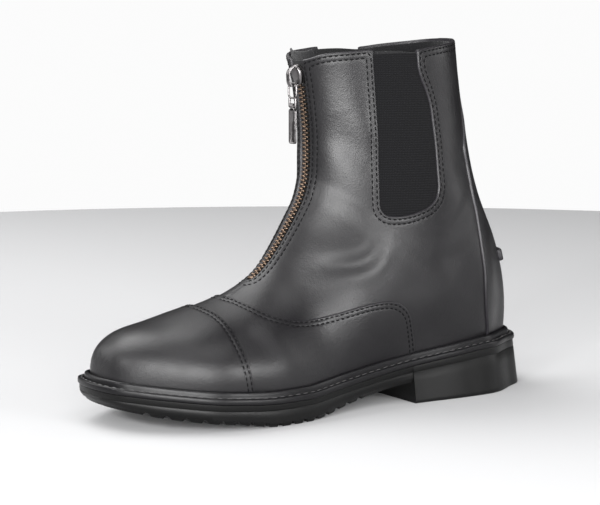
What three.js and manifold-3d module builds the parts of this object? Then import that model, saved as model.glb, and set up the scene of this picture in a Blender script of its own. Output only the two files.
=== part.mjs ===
// Paddock boot with a front zip, elastic side gores and a stitched welt: a left boot.
// Millimetres, +Z up, toe towards -Y, the wearer's left side towards +X, standing on z = 0.
import * as THREE from "three";
import { mergeVertices } from "three/addons/utils/BufferGeometryUtils.js";
import Module from "manifold-3d";

const wasm = await Module();
wasm.setup();

// Driving dimensions
const soleLength = 285; // rim of the welt, heel to toe
const ballWidth = 102; // rim of the welt across the ball
const heelHeight = 17.8; // heel block at the back
const heelFlare = 2.6; // the heel's floor edge stands this far outside the rim
const heelBreast = 0.333; // front face of the heel, as a share of the sole from the back
const waistThickness = 9.2; // outsole under the waist and the heel seat
const ballThickness = 13.3; // outsole at the ball, lugs included
const toeThickness = 9; // outsole at the tip
const toeSpring = 12.7; // floor to the outsole's underside at the tip
const sideStep = 0.9; // the outsole's side stands this far inside the rim
const lugDepth = 2.2;
const lugPitch = 10;
const lugGroove = 2.6;
const weltThickness = 3.6;
const weltWidth = 6.5; // rim to the upper
const beadHeight = 3.2; // raised inner edge of the welt above its rim
const stitchGroove = 1.2; // depth of the groove between bead and rim
const insoleThickness = 2.4;
const insoleEase = 1.6; // between the insole's edge and the upper's wall
const insoleHeelEase = 3.4; // more of it round the heel, where the wall closes in a bowl
const shaftHeight = 185; // back of the collar above the sole
const ankleWidth = 76;
const legWidth = 63; // across the collar
const heelRise = 42; // above the sole the side stands out to its full width
const leather = 2; // wall of the upper
const vampStep = 0.9; // the vamp stands this far proud of the quarters
const capThickness = 0.9;
const stayThickness = 1;
const elastic = 1.2;
const tapeThickness = 0.8;
const tapeWidth = 22;
const placketThickness = 1.2;
const placketWidth = 30;
const placketRise = 4; // the placket stands this far above the front of the collar
const zipLength = 143; // collar to bottom stop, along the front
const slotWidth = 10.4;
const chainWidth = 5.6;
const chainThickness = 1.9;
const toothPitch = 2.4;
const bottomStop = 2.6; // the teeth end this far above the slot's end
const sliderDrop = 14.5; // collar to the middle of the slider, along the front
const sliderLength = 12;
const sliderWidth = 9;
const sliderThickness = 3.4;
const bailWidth = 3.6;
const bailLength = 11.8;
const bailRise = 6.2;
const ringPlace = -0.325; // ring's axis below the middle of the bail, in bailLengths
const ringSeat = 0.5; // and above the body, in bailRises
const ringWidth = 9.2;
const ringLength = 9.6;
const ringWire = 1.2; // diameter
const hingeDrop = 13; // ring's hinge to the tab's hinge
const pinDiameter = 1;
const armWidth = 1.2; // the ring's arms beside the tab
const armEnd = 0.7; // they reach this far past the pin
const knuckle = 1.5; // radius of the tab's eye
const tabWidth = 6.5;
const tabLength = 20;
const tabThickness = 1.3;
const spurHeight = 6.5;
const spurDepth = 2.6;
const spurWidth = 34;
const gap = 0.3; // between neighbouring pieces

const sectionCount = 28;
const sectionEase = 8; // mm counted for each table row when the sections are spread
const pointsPerSide = 14;
const rimPoints = 56;

// The upper's own surface runs under the toe cap, the vamp's step and the back stay.
const capCover = vampStep + gap + capThickness;
const stayCover = gap + stayThickness;
const lastToe = -soleLength / 2 + weltWidth + capCover;
const lastHeel = soleLength / 2 - weltWidth - stayCover;
const footLength = lastHeel - lastToe;
const lengthwise = (share) => (lastHeel + lastToe) / 2 + share * footLength;

function table(columns, rows) {
  return rows.map((row) => Object.fromEntries(columns.map((name, i) => [name, row[i]])));
}

// Rim of the welt in plan: place along the sole from the heel, half-widths in ballWidths.
const rimTable = table(
  ["along", "lateral", "medial"],
  [
    [0.02, 0.177, 0.16],
    [0.06, 0.249, 0.25],
    [0.12, 0.351, 0.31],
    [0.2, 0.371, 0.335],
    [0.35, 0.36, 0.314],
    [0.5, 0.411, 0.33],
    [0.62, 0.496, 0.44],
    [0.72, 0.511, 0.5],
    [0.82, 0.468, 0.521],
    [0.9, 0.34, 0.471],
    [0.955, 0.212, 0.386],
    [0.985, 0.112, 0.296],
  ],
);
const toeTip = -0.086; // x of the tip in ballWidths

// Side profile of the outsole: its top as shares of the heel's lift and the toe's rise, its
// thickness as shares of the ball's and the tip's, and the tuck of its bottom edge.
const soleTable = table(
  ["along", "lift", "rise", "ball", "toe", "tuck"],
  [
    [0, 1, 0, 0, 0, -0.18],
    [0.12, 1, 0, 0, 0, -0.18],
    [0.25, 0.774, 0, 0, 0, -0.15],
    [0.33, 0.6, 0, 0.02, 0, -0.05],
    [0.4, 0.438, 0, 0.1, 0, 0.2],
    [0.5, 0.2, 0, 0.55, 0, 0.32],
    [0.57, 0.06, 0, 0.98, 0, 0.3],
    [0.61, 0, 0, 1, 0, 0.25],
    [0.685, 0, 0, 1, 0, 0.25],
    [0.78, 0, 0.19, 0.6, 0.4, 0.3],
    [0.9, 0, 0.6, 0.5, 0.5, 0.4],
    [1, 0, 1, 0, 1, 0.6],
  ],
);

// How far the overlays hold the upper's own surface inside the welt's inner edge.
const coverTable = table(
  ["along", "stay", "vamp", "cap"],
  [
    [0, 1, 0, 0],
    [0.12, 1, 0, 0],
    [0.26, 0, 0.2, 0],
    [0.4, 0, 1, 0],
    [0.66, 0, 1, 0],
    [0.73, 0, 0, 1],
    [1, 0, 0, 1],
  ],
);

// Section of the welt, from its outer lower edge over the groove and bead to the upper:
// inset from the rim in weltWidths, rise as shares of its thickness, bead and groove.
const weltTable = table(
  ["inset", "thickness", "bead", "groove"],
  [
    [0, 0, 0, 0],
    [0, 0.86, 0, 0],
    [0.08, 1, 0, 0],
    [0.34, 1, 0, 0],
    [0.42, 1, 0, -1],
    [0.54, 1, 0, -1],
    [0.59, 1, 0.7, 0],
    [0.66, 1, 1, 0],
    [0.75, 1, 0.85, 0],
    [0.9, 0, 0, 0],
  ],
);

// Sections of the last, fanned from the toe over the instep to the collar. Each runs from the
// front line to the feather edge, or to the back line above the heel. Places along y are shares
// of footLength, rises above the feather edge are shares of shaftHeight. The half-width is a sum
// of shares of the feather edge's, the ankle's and the leg's. Widest is the place of the greatest
// width from the front, brow and nape are the squareness of the front and back of the section.
const lastTable = table(
  ["frontY", "frontRise", "backY", "backRise", "foot", "ankle", "leg", "centre", "widest", "brow", "nape"],
  [
    [-0.5, 0, -0.5, 0, 1, 0, 0, -0.086, 0.7, 2.3, 2.4],
    [-0.4926, 0.1, -0.4926, 0, 1.01, 0, 0, -0.085, 0.7, 2.3, 2.4],
    [-0.4706, 0.14, -0.4706, 0, 1.02, 0, 0, -0.081, 0.7, 2.3, 2.4],
    [-0.4338, 0.172, -0.4301, 0, 1.02, 0, 0, -0.073, 0.7, 2.25, 2.4],
    [-0.3787, 0.198, -0.3713, 0, 1.02, 0, 0, -0.06, 0.7, 2.1, 2.4],
    [-0.3125, 0.237, -0.2941, 0, 1.02, 0, 0, -0.047, 0.72, 1.95, 2.4],
    [-0.25, 0.27, -0.2132, 0, 1.02, 0, 0, -0.034, 0.74, 1.85, 2.4],
    [-0.1912, 0.311, -0.125, 0, 1.03, 0, 0, -0.024, 0.74, 1.8, 2.4],
    [-0.1397, 0.363, -0.0147, 0, 0.9, 0.17, 0, -0.015, 0.7, 1.8, 2.4],
    [-0.0956, 0.438, 0.1287, 0, 0.3, 0.76, 0, -0.008, 0.6, 1.85, 2.4],
    [-0.0588, 0.519, 0.3015, 0, 0.1, 0.93, 0, -0.003, 0.52, 1.95, 2.4],
    [-0.0423, 0.559, 0.3971, 0, 0.03, 0.97, 0, 0, 0.48, 2, 2.4],
    [-0.0331, 0.588, 0.4596, 0, 0, 0.98, 0, 0, 0.46, 2.05, 2.35],
    [-0.0265, 0.624, 0.4908, 0, 0, 0.97, 0, 0, 0.46, 2.1, 2.3],
    [-0.0245, 0.64, 0.5, 0, 0, 0.965, 0, 0, 0.46, 2.1, 2.3],
    [-0.0228, 0.662, 0.5018, 0.079, 0, 0.96, 0, 0, 0.46, 2.15, 2.3],
    [-0.0213, 0.715, 0.4945, 0.177, 0, 0.79, 0.2, 0, 0.47, 2.2, 2.3],
    [-0.0221, 0.769, 0.4706, 0.312, 0, 0.59, 0.4, 0, 0.48, 2.2, 2.3],
    [-0.0257, 0.835, 0.4173, 0.479, 0, 0.35, 0.65, 0, 0.5, 2.25, 2.3],
    [-0.0316, 0.906, 0.3897, 0.626, 0, 0.12, 0.88, 0, 0.5, 2.3, 2.3],
    [-0.0404, 0.97, 0.375, 0.773, 0, 0.03, 0.97, 0, 0.5, 2.3, 2.3],
    [-0.0551, 1.034, 0.3566, 1.001, 0, 0, 1, 0, 0.5, 2.3, 2.3],
  ],
);

// Lines on the side of the upper, seen along x: place in footLengths, rise in shaftHeights.
const sideLine = (rows) => table(["place", "rise"], rows);

const collarLine = sideLine([
  [-0.083, 0.982],
  [-0.046, 1.001],
  [-0.037, 1.015],
  [-0.024, 1.02],
  [0.043, 1.02],
  [0.08, 1.014],
  [0.137, 1.003],
  [0.196, 0.987],
  [0.245, 0.993],
  [0.314, 0.992],
  [0.36, 0.999],
  [0.42, 1.005],
]);

// The elastic's opening, round from its front top corner, open at the collar.
const goreLine = sideLine([
  [0.082, 0.998],
  [0.085, 0.95],
  [0.091, 0.838],
  [0.095, 0.706],
  [0.096, 0.54],
  [0.099, 0.514],
  [0.11, 0.497],
  [0.131, 0.488],
  [0.162, 0.485],
  [0.197, 0.491],
  [0.223, 0.502],
  [0.239, 0.522],
  [0.246, 0.554],
  [0.245, 0.598],
  [0.243, 0.693],
  [0.238, 0.751],
  [0.232, 0.808],
  [0.22, 0.86],
  [0.208, 0.896],
  [0.198, 0.935],
  [0.195, 0.976],
]);

// The vamp's upper edge, from the instep over the side and down to the sole.
const vampLine = sideLine([
  [-0.236, 0.411],
  [-0.224, 0.295],
  [-0.216, 0.287],
  [-0.197, 0.267],
  [-0.18, 0.251],
  [-0.158, 0.239],
  [-0.119, 0.227],
  [-0.076, 0.223],
  [-0.033, 0.226],
  [0.01, 0.231],
  [0.054, 0.235],
  [0.092, 0.233],
  [0.12, 0.224],
  [0.146, 0.201],
  [0.162, 0.173],
  [0.173, 0.135],
  [0.183, 0.093],
  [0.191, 0.055],
  [0.2, -0.05],
]);

const capLine = sideLine([
  [-0.299, 0.404],
  [-0.284, 0.263],
  [-0.271, 0.234],
  [-0.266, 0.165],
  [-0.258, 0.09],
  [-0.247, 0.01],
  [-0.243, -0.05],
]);

// The back stay's front edge, from the sole up to the collar.
const stayLine = sideLine([
  [0.408, -0.05],
  [0.399, 0.052],
  [0.387, 0.106],
  [0.376, 0.179],
  [0.372, 0.246],
  [0.367, 0.309],
  [0.361, 0.438],
  [0.357, 0.509],
  [0.351, 0.586],
  [0.344, 0.656],
  [0.354, 0.705],
  [0.3645, 0.77],
  [0.36, 0.878],
  [0.351, 0.997],
  [0.346, 1.06],
]);

// A smooth curve through a table's values that never swings past them.
function through(places, values) {
  const last = places.length - 1;
  const step = places.slice(1).map((x, i) => x - places[i]);
  const rise = step.map((h, i) => (values[i + 1] - values[i]) / h);
  const slope = places.map((x, i) => {
    if (i === 0) return rise[0];
    if (i === last) return rise[last - 1];
    if (rise[i - 1] * rise[i] <= 0) return 0;
    const before = 2 * step[i] + step[i - 1];
    const after = step[i] + 2 * step[i - 1];
    return (before + after) / (before / rise[i - 1] + after / rise[i]);
  });
  return (x) => {
    const at = THREE.MathUtils.clamp(x, places[0], places[last]);
    let i = 0;
    while (i < last - 1 && at > places[i + 1]) i += 1;
    const h = step[i];
    const t = (at - places[i]) / h;
    return (
      values[i] * (1 + 2 * t) * (1 - t) ** 2 +
      slope[i] * h * t * (1 - t) ** 2 +
      values[i + 1] * t * t * (3 - 2 * t) +
      slope[i + 1] * h * t * t * (t - 1)
    );
  };
}

function columnsOf(rows, key) {
  const places = rows.map((row, i) => (key ? row[key] : i));
  const names = Object.keys(rows[0]).filter((name) => name !== key);
  return Object.fromEntries(names.map((name) => [name, through(places, rows.map((row) => row[name]))]));
}

const sole = columnsOf(soleTable, "along");
const cover = columnsOf(coverTable, "along");
const last = columnsOf(lastTable);

const alongOf = (y) => 0.5 - y / soleLength;
const yOf = (along) => soleLength * (0.5 - along);
const seatTop = heelHeight + gap + waistThickness;
const tipTop = toeSpring + toeThickness;

function outsoleTop(y) {
  const p = alongOf(y);
  const lift = sole.lift(p) * (seatTop - ballThickness);
  return ballThickness + lift + sole.rise(p) * (tipTop - ballThickness);
}

function outsoleUnder(y) {
  const p = alongOf(y);
  const ball = sole.ball(p) * (ballThickness - waistThickness);
  return outsoleTop(y) - waistThickness - ball - sole.toe(p) * (toeThickness - waistThickness);
}

const featherHeight = (y) => outsoleTop(y) + gap;

// The rim in plan, from the back of the heel along the lateral side to the toe and back.
const rim = new THREE.CatmullRomCurve3(
  [
    new THREE.Vector3(0, soleLength / 2, 0),
    ...rimTable.map((row) => new THREE.Vector3(row.lateral * ballWidth, yOf(row.along), 0)),
    new THREE.Vector3(toeTip * ballWidth, -soleLength / 2, 0),
    ...rimTable.map((row) => new THREE.Vector3(-row.medial * ballWidth, yOf(row.along), 0)).reverse(),
  ],
  true,
  "centripetal",
);
rim.arcLengthDivisions = 1600;

// A ring round the sole, inside the rim by inset, at the height given for each place.
function ring(inset, height, count = rimPoints) {
  return Array.from({ length: count }, (_, i) => {
    const at = (i + 0.5) / count;
    const point = rim.getPointAt(at);
    const tangent = rim.getTangentAt(at);
    const depth = typeof inset === "function" ? inset(point.y) : inset;
    point.x += depth * tangent.y;
    point.y -= depth * tangent.x;
    point.z = height(point.y);
    return point;
  });
}

// The feather edge: the lower edge of the upper, where it meets the sole.
function featherInset(y) {
  const p = alongOf(y);
  return weltWidth + cover.stay(p) * stayCover + cover.vamp(p) * vampStep + cover.cap(p) * capCover;
}
const featherRing = ring(featherInset, () => 0, 480);

// Where the feather edge crosses a place along y, on the lateral (+1) or the medial (-1) side.
function featherX(y, side) {
  let found = null;
  featherRing.forEach((a, i) => {
    const b = featherRing[(i + 1) % featherRing.length];
    if ((a.y - y) * (b.y - y) > 0 || a.y === b.y) return;
    const x = a.x + ((b.x - a.x) * (y - a.y)) / (b.y - a.y);
    if (found === null || side * (x - found) > 0) found = x;
  });
  return found;
}

// How far the back line stands behind the middle of the heel at a height, against at the sole.
const heelMiddle = lengthwise(0.3);
const backRows = lastTable.slice(lastTable.findIndex((row) => row.backY === 0.5));
const backPlace = through(backRows.map((row) => row.backRise), backRows.map((row) => row.backY));
function heelReach(height) {
  const back = lengthwise(backPlace((height - featherHeight(lastHeel)) / shaftHeight));
  return (back - heelMiddle) / (lastHeel - heelMiddle);
}

// Half-width low on the side: the feather edge's at the sole, the section's own at some height.
function lowWidth(place, side, centre, half, top) {
  const level = THREE.MathUtils.clamp((place.y - featherHeight(place.x)) / top, 0, 1);
  const behind = Math.max(0, place.x - heelMiddle) / heelReach(place.y);
  const edgeAt = (y) => Math.max(0, side * ((featherX(y, side) ?? centre) - centre));
  const swell = half / edgeAt(Math.min(place.x, heelMiddle)) - 1;
  const edge = edgeAt(Math.min(place.x, heelMiddle) + behind);
  return edge * (1 + swell * THREE.MathUtils.smoothstep(level, 0, 1));
}

// One side of a section as points from the front line down to its lower end.
function sectionSide(row, side) {
  const value = (name) => last[name](row);
  const front = new THREE.Vector2(lengthwise(value("frontY")), 0);
  const back = new THREE.Vector2(lengthwise(value("backY")), 0);
  front.y = featherHeight(front.x) + value("frontRise") * shaftHeight;
  back.y = featherHeight(back.x) + value("backRise") * shaftHeight;
  const centre = value("centre") * ballWidth;
  const edge = value("backRise") > 0 ? null : featherX(back.x, side);
  const feather = edge === null ? 0 : Math.max(0, side * (edge - centre));
  const half = value("foot") * feather + (value("ankle") * ankleWidth + value("leg") * legWidth) / 2;
  const brow = value("brow");
  const nape = value("nape");
  const widest = value("widest");
  const tuck = half > 0 ? Math.min(1, feather / half) : 1;
  const cut = 1 - tuck ** nape;
  const lower = Math.asin(Math.sqrt(cut));
  const at = (share) => front.clone().lerp(back, share);
  const bulge = at(widest);
  const top = Math.min(bulge.y - featherHeight(bulge.x), heelRise);
  const place = (share, width) => new THREE.Vector3(centre + side * width, at(share).x, at(share).y);
  const points = [];
  const fine = 48;
  for (let i = 0; i <= fine; i += 1) {
    const angle = (i / fine) * (Math.PI / 2);
    points.push(place(widest * (1 - Math.cos(angle) ** (2 / brow)), half * Math.sin(angle) ** (2 / brow)));
  }
  for (let i = 1; i <= fine; i += 1) {
    const angle = (i / fine) * lower;
    const share = Math.min(1, Math.sin(angle) ** (2 / nape) / Math.max(cut, 1e-9) ** (1 / nape));
    const reach = widest + (1 - widest) * share;
    const rise = at(reach).y - featherHeight(at(reach).x);
    const round = half * Math.cos(angle) ** (2 / nape);
    const low = lowWidth(at(reach), side, centre, half, top);
    const above = THREE.MathUtils.smoothstep(rise, heelRise, 2 * heelRise);
    points.push(place(reach, THREE.MathUtils.lerp(low, round, above)));
  }
  return evenly(points, pointsPerSide);
}

// The same line with its points spaced evenly, ends kept.
function evenly(points, count) {
  const lengths = [0];
  points.slice(1).forEach((p, i) => lengths.push(lengths[i] + p.distanceTo(points[i])));
  const total = lengths[points.length - 1];
  return Array.from({ length: count + 1 }, (_, i) => {
    const wanted = (total * i) / count;
    let k = 1;
    while (k < points.length - 1 && lengths[k] < wanted) k += 1;
    const span = lengths[k] - lengths[k - 1];
    const t = span > 0 ? (wanted - lengths[k - 1]) / span : 0;
    return points[k - 1].clone().lerp(points[k], t);
  });
}

// Places of the sections in the table, denser where its rows lie far apart along the shoe.
const sectionPlaces = (() => {
  const fine = 20;
  const ends = Array.from({ length: (lastTable.length - 1) * fine + 1 }, (_, i) => [
    new THREE.Vector2(last.frontY(i / fine) * footLength, last.frontRise(i / fine) * shaftHeight),
    new THREE.Vector2(last.backY(i / fine) * footLength, last.backRise(i / fine) * shaftHeight),
  ]);
  const reach = [0];
  ends.slice(1).forEach(([front, back], i) => {
    const moved = Math.max(front.distanceTo(ends[i][0]), back.distanceTo(ends[i][1]));
    reach.push(reach[i] + moved + sectionEase / fine);
  });
  const placeAt = through(reach, reach.map((_, i) => i / fine));
  return Array.from({ length: sectionCount + 1 }, (_, i) => placeAt((reach.at(-1) * i) / sectionCount));
})();

// Rows of the last's surface: each runs from the lateral lower end over the front to the medial.
const toePole = new THREE.Vector3(toeTip * ballWidth, lastToe, featherHeight(lastToe));
const lastRows = sectionPlaces.map((row, i) => {
  if (i === 0) return Array.from({ length: 2 * pointsPerSide + 1 }, () => toePole.clone());
  const lateral = sectionSide(row, 1).reverse();
  const medial = sectionSide(row, -1).slice(1);
  return [...lateral, ...medial];
});

// Triangles between neighbouring rows of points.
function skin(rows, closed) {
  const faces = [];
  rows.slice(1).forEach((row, i) => {
    const before = rows[i];
    const count = closed ? row.length : row.length - 1;
    for (let j = 0; j < count; j += 1) {
      const k = (j + 1) % row.length;
      faces.push([before[j], before[k], row[k]], [before[j], row[k], row[j]]);
    }
  });
  return faces;
}

// Strips across a ring, joining each point to its mirror place.
function lid(row) {
  const half = Math.ceil(row.length / 2);
  const pairs = Array.from({ length: half }, (_, i) => [row[i], row[row.length - 1 - i]]);
  return skin(pairs, false);
}

function geometryOf(faces) {
  const corners = faces.flat().flatMap((p) => [p.x, p.y, p.z]);
  return new THREE.BufferGeometry().setAttribute("position", new THREE.Float32BufferAttribute(corners, 3));
}

// A closed solid from a geometry, faces outwards.
function solidOf(geometry) {
  const bare = geometry.index ? geometry.toNonIndexed() : geometry.clone();
  bare.deleteAttribute("normal");
  bare.deleteAttribute("uv");
  const merged = mergeVertices(bare, 1e-3);
  const corners = merged.index.array;
  const kept = [];
  for (let i = 0; i < corners.length; i += 3) {
    const [a, b, c] = corners.slice(i, i + 3);
    if (a !== b && b !== c && c !== a) kept.push(a, b, c);
  }
  const make = (list) =>
    new wasm.Manifold(
      new wasm.Mesh({
        numProp: 3,
        vertProperties: new Float32Array(merged.attributes.position.array),
        triVerts: new Uint32Array(list),
      }),
    );
  const solid = make(kept);
  return solid.volume() >= 0 ? solid : make(kept.reverse());
}

function tube(rings) {
  const end = lid(rings.at(-1)).map((face) => face.reverse());
  return solidOf(geometryOf([...skin(rings, true), ...lid(rings[0]), ...end]));
}
const hoop = (rings) => solidOf(geometryOf(skin([...rings, rings[0]], true)));

// Outward normals of the last's surface, one for each point of lastRows.
const lastNormals = (() => {
  const bare = mergeVertices(geometryOf(skin(lastRows, false)), 1e-3);
  bare.computeVertexNormals();
  const key = (p) => [p.x, p.y, p.z].map((v) => Math.round(v * 50)).join();
  const found = new Map();
  const at = new THREE.Vector3();
  for (let i = 0; i < bare.attributes.position.count; i += 1) {
    at.fromBufferAttribute(bare.attributes.position, i);
    found.set(key(at), new THREE.Vector3().fromBufferAttribute(bare.attributes.normal, i).negate());
  }
  const single = (p) => new THREE.Vector3(...[p.x, p.y, p.z].map(Math.fround));
  return lastRows.map((row) => row.map((p) => found.get(key(single(p)))));
})();

const frontColumn = pointsPerSide;

// The upper's surface moved outwards by offset, as a closed form that runs on above the collar
// and below the feather edge.
function form(offset, below = 0) {
  const rows = lastRows.map((row, i) => {
    const moved = row.map((point, j) => {
      const normal = lastNormals[i][j].clone();
      if (j === 0 || j === row.length - 1) normal.setZ(0).normalize();
      return point.clone().addScaledVector(normal, offset);
    });
    const open = last.backRise(sectionPlaces[i]) <= 0;
    const drop = new THREE.Vector3(0, 0, open ? -below : 0);
    return [moved[0].clone().add(drop), ...moved, moved.at(-1).clone().add(drop)];
  });
  const [before, top] = rows.slice(-2);
  const above = top.map((point, j) => {
    const rise = point.clone().sub(before[j]).setLength(headroom);
    return point.clone().add(rise);
  });
  return tube([...rows, above]);
}

// Turns a profile drawn in x and y, with its depth along z, to stand in y and z across the shoe.
const sideways = new THREE.Matrix4().makeBasis(
  new THREE.Vector3(0, 1, 0),
  new THREE.Vector3(0, 0, 1),
  new THREE.Vector3(1, 0, 0),
);

// A prism across the shoe, from an outline in y and z.
function sidePrism(outline, from, to) {
  const settings = { depth: to - from, bevelEnabled: false };
  const geometry = new THREE.ExtrudeGeometry(new THREE.Shape(outline), settings);
  return solidOf(geometry.applyMatrix4(sideways).translate(from, 0, 0));
}

// A prism along the shoe, from an outline in x and z.
function frontPrism(outline, from, to) {
  const settings = { depth: to - from, bevelEnabled: false };
  const geometry = new THREE.ExtrudeGeometry(new THREE.Shape(outline), settings);
  const across = new THREE.Vector3(1, 0, 0);
  const upright = new THREE.Vector3(0, 0, 1);
  const forwards = new THREE.Vector3(0, -1, 0);
  geometry.applyMatrix4(new THREE.Matrix4().makeBasis(across, upright, forwards).setPosition(0, to, 0));
  return solidOf(geometry);
}

// An outline's points moved outwards by a distance.
function grown(outline, by) {
  const turn = THREE.ShapeUtils.isClockWise(outline) ? -1 : 1;
  return outline.map((point, i) => {
    const before = outline[(i + outline.length - 1) % outline.length];
    const after = outline[(i + 1) % outline.length];
    const side = after.clone().sub(before).normalize();
    return new THREE.Vector2(point.x + turn * side.y * by, point.y - turn * side.x * by);
  });
}

function onSide(row) {
  const y = lengthwise(row.place);
  return new THREE.Vector2(y, featherHeight(y) + row.rise * shaftHeight);
}

const headroom = 8;
const far = 2 * ballWidth;
const high = seatTop + 2 * shaftHeight;
const belowFeather = 6;

// What lies below the collar line, the line lifted by some height.
function belowCollar(lift) {
  const line = collarLine.map(onSide).map((point) => point.setY(point.y + lift));
  const front = new THREE.Vector2(-soleLength, line[0].y);
  const back = new THREE.Vector2(soleLength, line.at(-1).y);
  const floor = [new THREE.Vector2(soleLength, -far), new THREE.Vector2(-soleLength, -far)];
  return sidePrism([front, ...line, back, ...floor], -far, far);
}

// What lies in front of a line over the vamp, the line moved back by some distance.
function inFrontOf(line, back) {
  const points = line.map(onSide).map((point) => point.setX(point.x + back));
  const top = new THREE.Vector2(-soleLength, points[0].y);
  const bottom = new THREE.Vector2(-soleLength, points.at(-1).y);
  return sidePrism([top, ...points, bottom], -far, far);
}

// What lies behind a line up the heel, the line moved forward by some distance.
function behind(line, forward) {
  const points = line.map(onSide).map((point) => point.setX(point.x - forward));
  const top = new THREE.Vector2(soleLength, points.at(-1).y);
  const bottom = new THREE.Vector2(soleLength, points[0].y);
  return sidePrism([...points, top, bottom], -far, far);
}

// The front line of the upper from the collar down, with the outward direction at each place.
const frontLine = lastRows
  .map((row, i) => ({ point: row[frontColumn], normal: lastNormals[i][frontColumn] }))
  .slice(1)
  .reverse();
const frontCurve = new THREE.CatmullRomCurve3(frontLine.map((place) => place.point));
const frontReach = frontCurve.getLength();

// A frame on the front line at a distance from the collar: across, up along the line, outwards.
function frontFrame(distance) {
  const at = distance / frontReach;
  const across = new THREE.Vector3(1, 0, 0);
  const up = frontCurve.getTangentAt(at).negate().setX(0).normalize();
  const out = new THREE.Vector3().crossVectors(across, up);
  return new THREE.Matrix4().makeBasis(across, up, out).setPosition(frontCurve.getPointAt(at));
}
const inFrame = (frame, x, y, z) => new THREE.Vector3(x, y, z).applyMatrix4(frame);
const sliderFrame = frontFrame(sliderDrop);
const ringHeight = sliderThickness - leather + ringSeat * bailRise;
const ringPivot = inFrame(sliderFrame, 0, ringPlace * bailLength, ringHeight);

// A strip along the zip seen from the front, its half-width given for each distance.
function zipStrip(half, top, bottom) {
  const steps = 12;
  const line = Array.from({ length: steps + 1 }, (_, i) => THREE.MathUtils.lerp(0, bottom, i / steps));
  const places = line.map((distance) => ({ point: frontCurve.getPointAt(distance / frontReach), distance }));
  places[0].point.z += top;
  const right = places.map(({ point, distance }) => new THREE.Vector2(point.x + half(distance), point.z));
  const left = places.map(({ point, distance }) => new THREE.Vector2(point.x - half(distance), point.z));
  return frontPrism([...right, ...left.reverse()], lengthwise(-0.26), lengthwise(0.06));
}

// Sole

function outsole() {
  const edge = (share, lift) => [
    (y) => sideStep + share * sole.tuck(alongOf(y)) * weltWidth,
    (y) => outsoleUnder(y) + lift,
  ];
  const shoulder = lugDepth + 1;
  let solid = tube([ring(sideStep, outsoleTop), ring(...edge(0.35, shoulder)), ring(...edge(1, 0))]);
  for (let y = yOf(0.5); y > yOf(0.95); y -= lugPitch) {
    const groove = new THREE.BoxGeometry(far, lugGroove, 2 * lugDepth);
    const slope = (outsoleUnder(y - 1) - outsoleUnder(y + 1)) / 2;
    const turned = new THREE.Matrix4().makeRotationX(-Math.atan(slope));
    groove.applyMatrix4(turned.setPosition(0, y, outsoleUnder(y)));
    solid = solid.subtract(solidOf(groove));
  }
  return solid;
}

function heelBlock() {
  const walls = tube([ring(-heelFlare, () => 0), ring(sideStep, () => seatTop)]);
  const breast = yOf(heelBreast);
  const steps = 8;
  const top = Array.from({ length: steps + 1 }, (_, i) => {
    const y = THREE.MathUtils.lerp(soleLength / 2, breast, i / steps);
    return new THREE.Vector2(y, outsoleUnder(y) - gap);
  });
  const back = new THREE.Vector2(soleLength, top[0].y);
  const floor = [new THREE.Vector2(breast, -1), new THREE.Vector2(soleLength, -1)];
  return walls.intersect(sidePrism([...floor, back, ...top], -far, far));
}

function welt() {
  const rings = weltTable.map((row) => {
    const rise = row.thickness * weltThickness + row.bead * beadHeight + row.groove * stitchGroove;
    return ring(row.inset * weltWidth, (y) => outsoleTop(y) + gap + rise);
  });
  const heel = form(stayCover + gap, belowFeather).intersect(behind(stayLine, 2 * weltWidth));
  return hoop(rings).subtract(heel);
}

function insole() {
  const inset = (y) => featherInset(y) + leather + insoleEase + cover.stay(alongOf(y)) * insoleHeelEase;
  const foot = (y) => outsoleTop(y) + gap;
  return tube([ring(inset, foot), ring(inset, (y) => foot(y) + insoleThickness)]);
}

// Upper

function goreOpening(by) {
  const line = grown(goreLine.map(onSide), by);
  const top = [new THREE.Vector2(line.at(-1).x, high), new THREE.Vector2(line[0].x, high)];
  return [...line, ...top];
}

function slotHalf(distance) {
  const taper = THREE.MathUtils.smoothstep(distance, zipLength - 30, zipLength);
  return THREE.MathUtils.lerp(slotWidth / 2, chainWidth / 2 + gap + 0.3, taper);
}

function upper() {
  const vamp = form(vampStep).intersect(inFrontOf(vampLine, 0));
  let solid = form(0).add(vamp).subtract(form(-leather, belowFeather));
  solid = solid.subtract(sidePrism(goreOpening(0), -far, far));
  solid = solid.subtract(zipStrip(slotHalf, headroom, zipLength + gap));
  return solid.intersect(belowCollar(0));
}

function toeCap() {
  return form(capCover).subtract(form(vampStep + gap, belowFeather)).intersect(inFrontOf(capLine, 0));
}

function backStay() {
  return form(stayCover)
    .subtract(form(gap, belowFeather))
    .intersect(behind(stayLine, 0))
    .intersect(belowCollar(0));
}

function gore(side) {
  const sheet = form(-gap).subtract(form(-gap - elastic, belowFeather));
  const half = side > 0 ? [0, far] : [-far, 0];
  return sheet.intersect(sidePrism(goreOpening(-gap), ...half)).intersect(belowCollar(-3));
}

function spurRest() {
  const seat = featherHeight(lastHeel) + 0.26 * shaftHeight;
  const half = spurWidth / 2;
  const outline = [
    new THREE.Vector2(-half, seat),
    new THREE.Vector2(half, seat),
    new THREE.Vector2(half - 1, seat + spurHeight),
    new THREE.Vector2(1 - half, seat + spurHeight),
  ];
  const under = stayCover + gap;
  const rest = form(under + spurDepth).subtract(form(under));
  return rest.intersect(frontPrism(outline, lengthwise(0.2), soleLength));
}

// Zip

function zipTape() {
  const under = leather + gap;
  const sheet = form(-under).subtract(form(-under - tapeThickness, belowFeather));
  const strip = zipStrip(() => tapeWidth / 2, headroom, zipLength + 6);
  return sheet.intersect(strip).intersect(belowCollar(-1));
}

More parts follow.
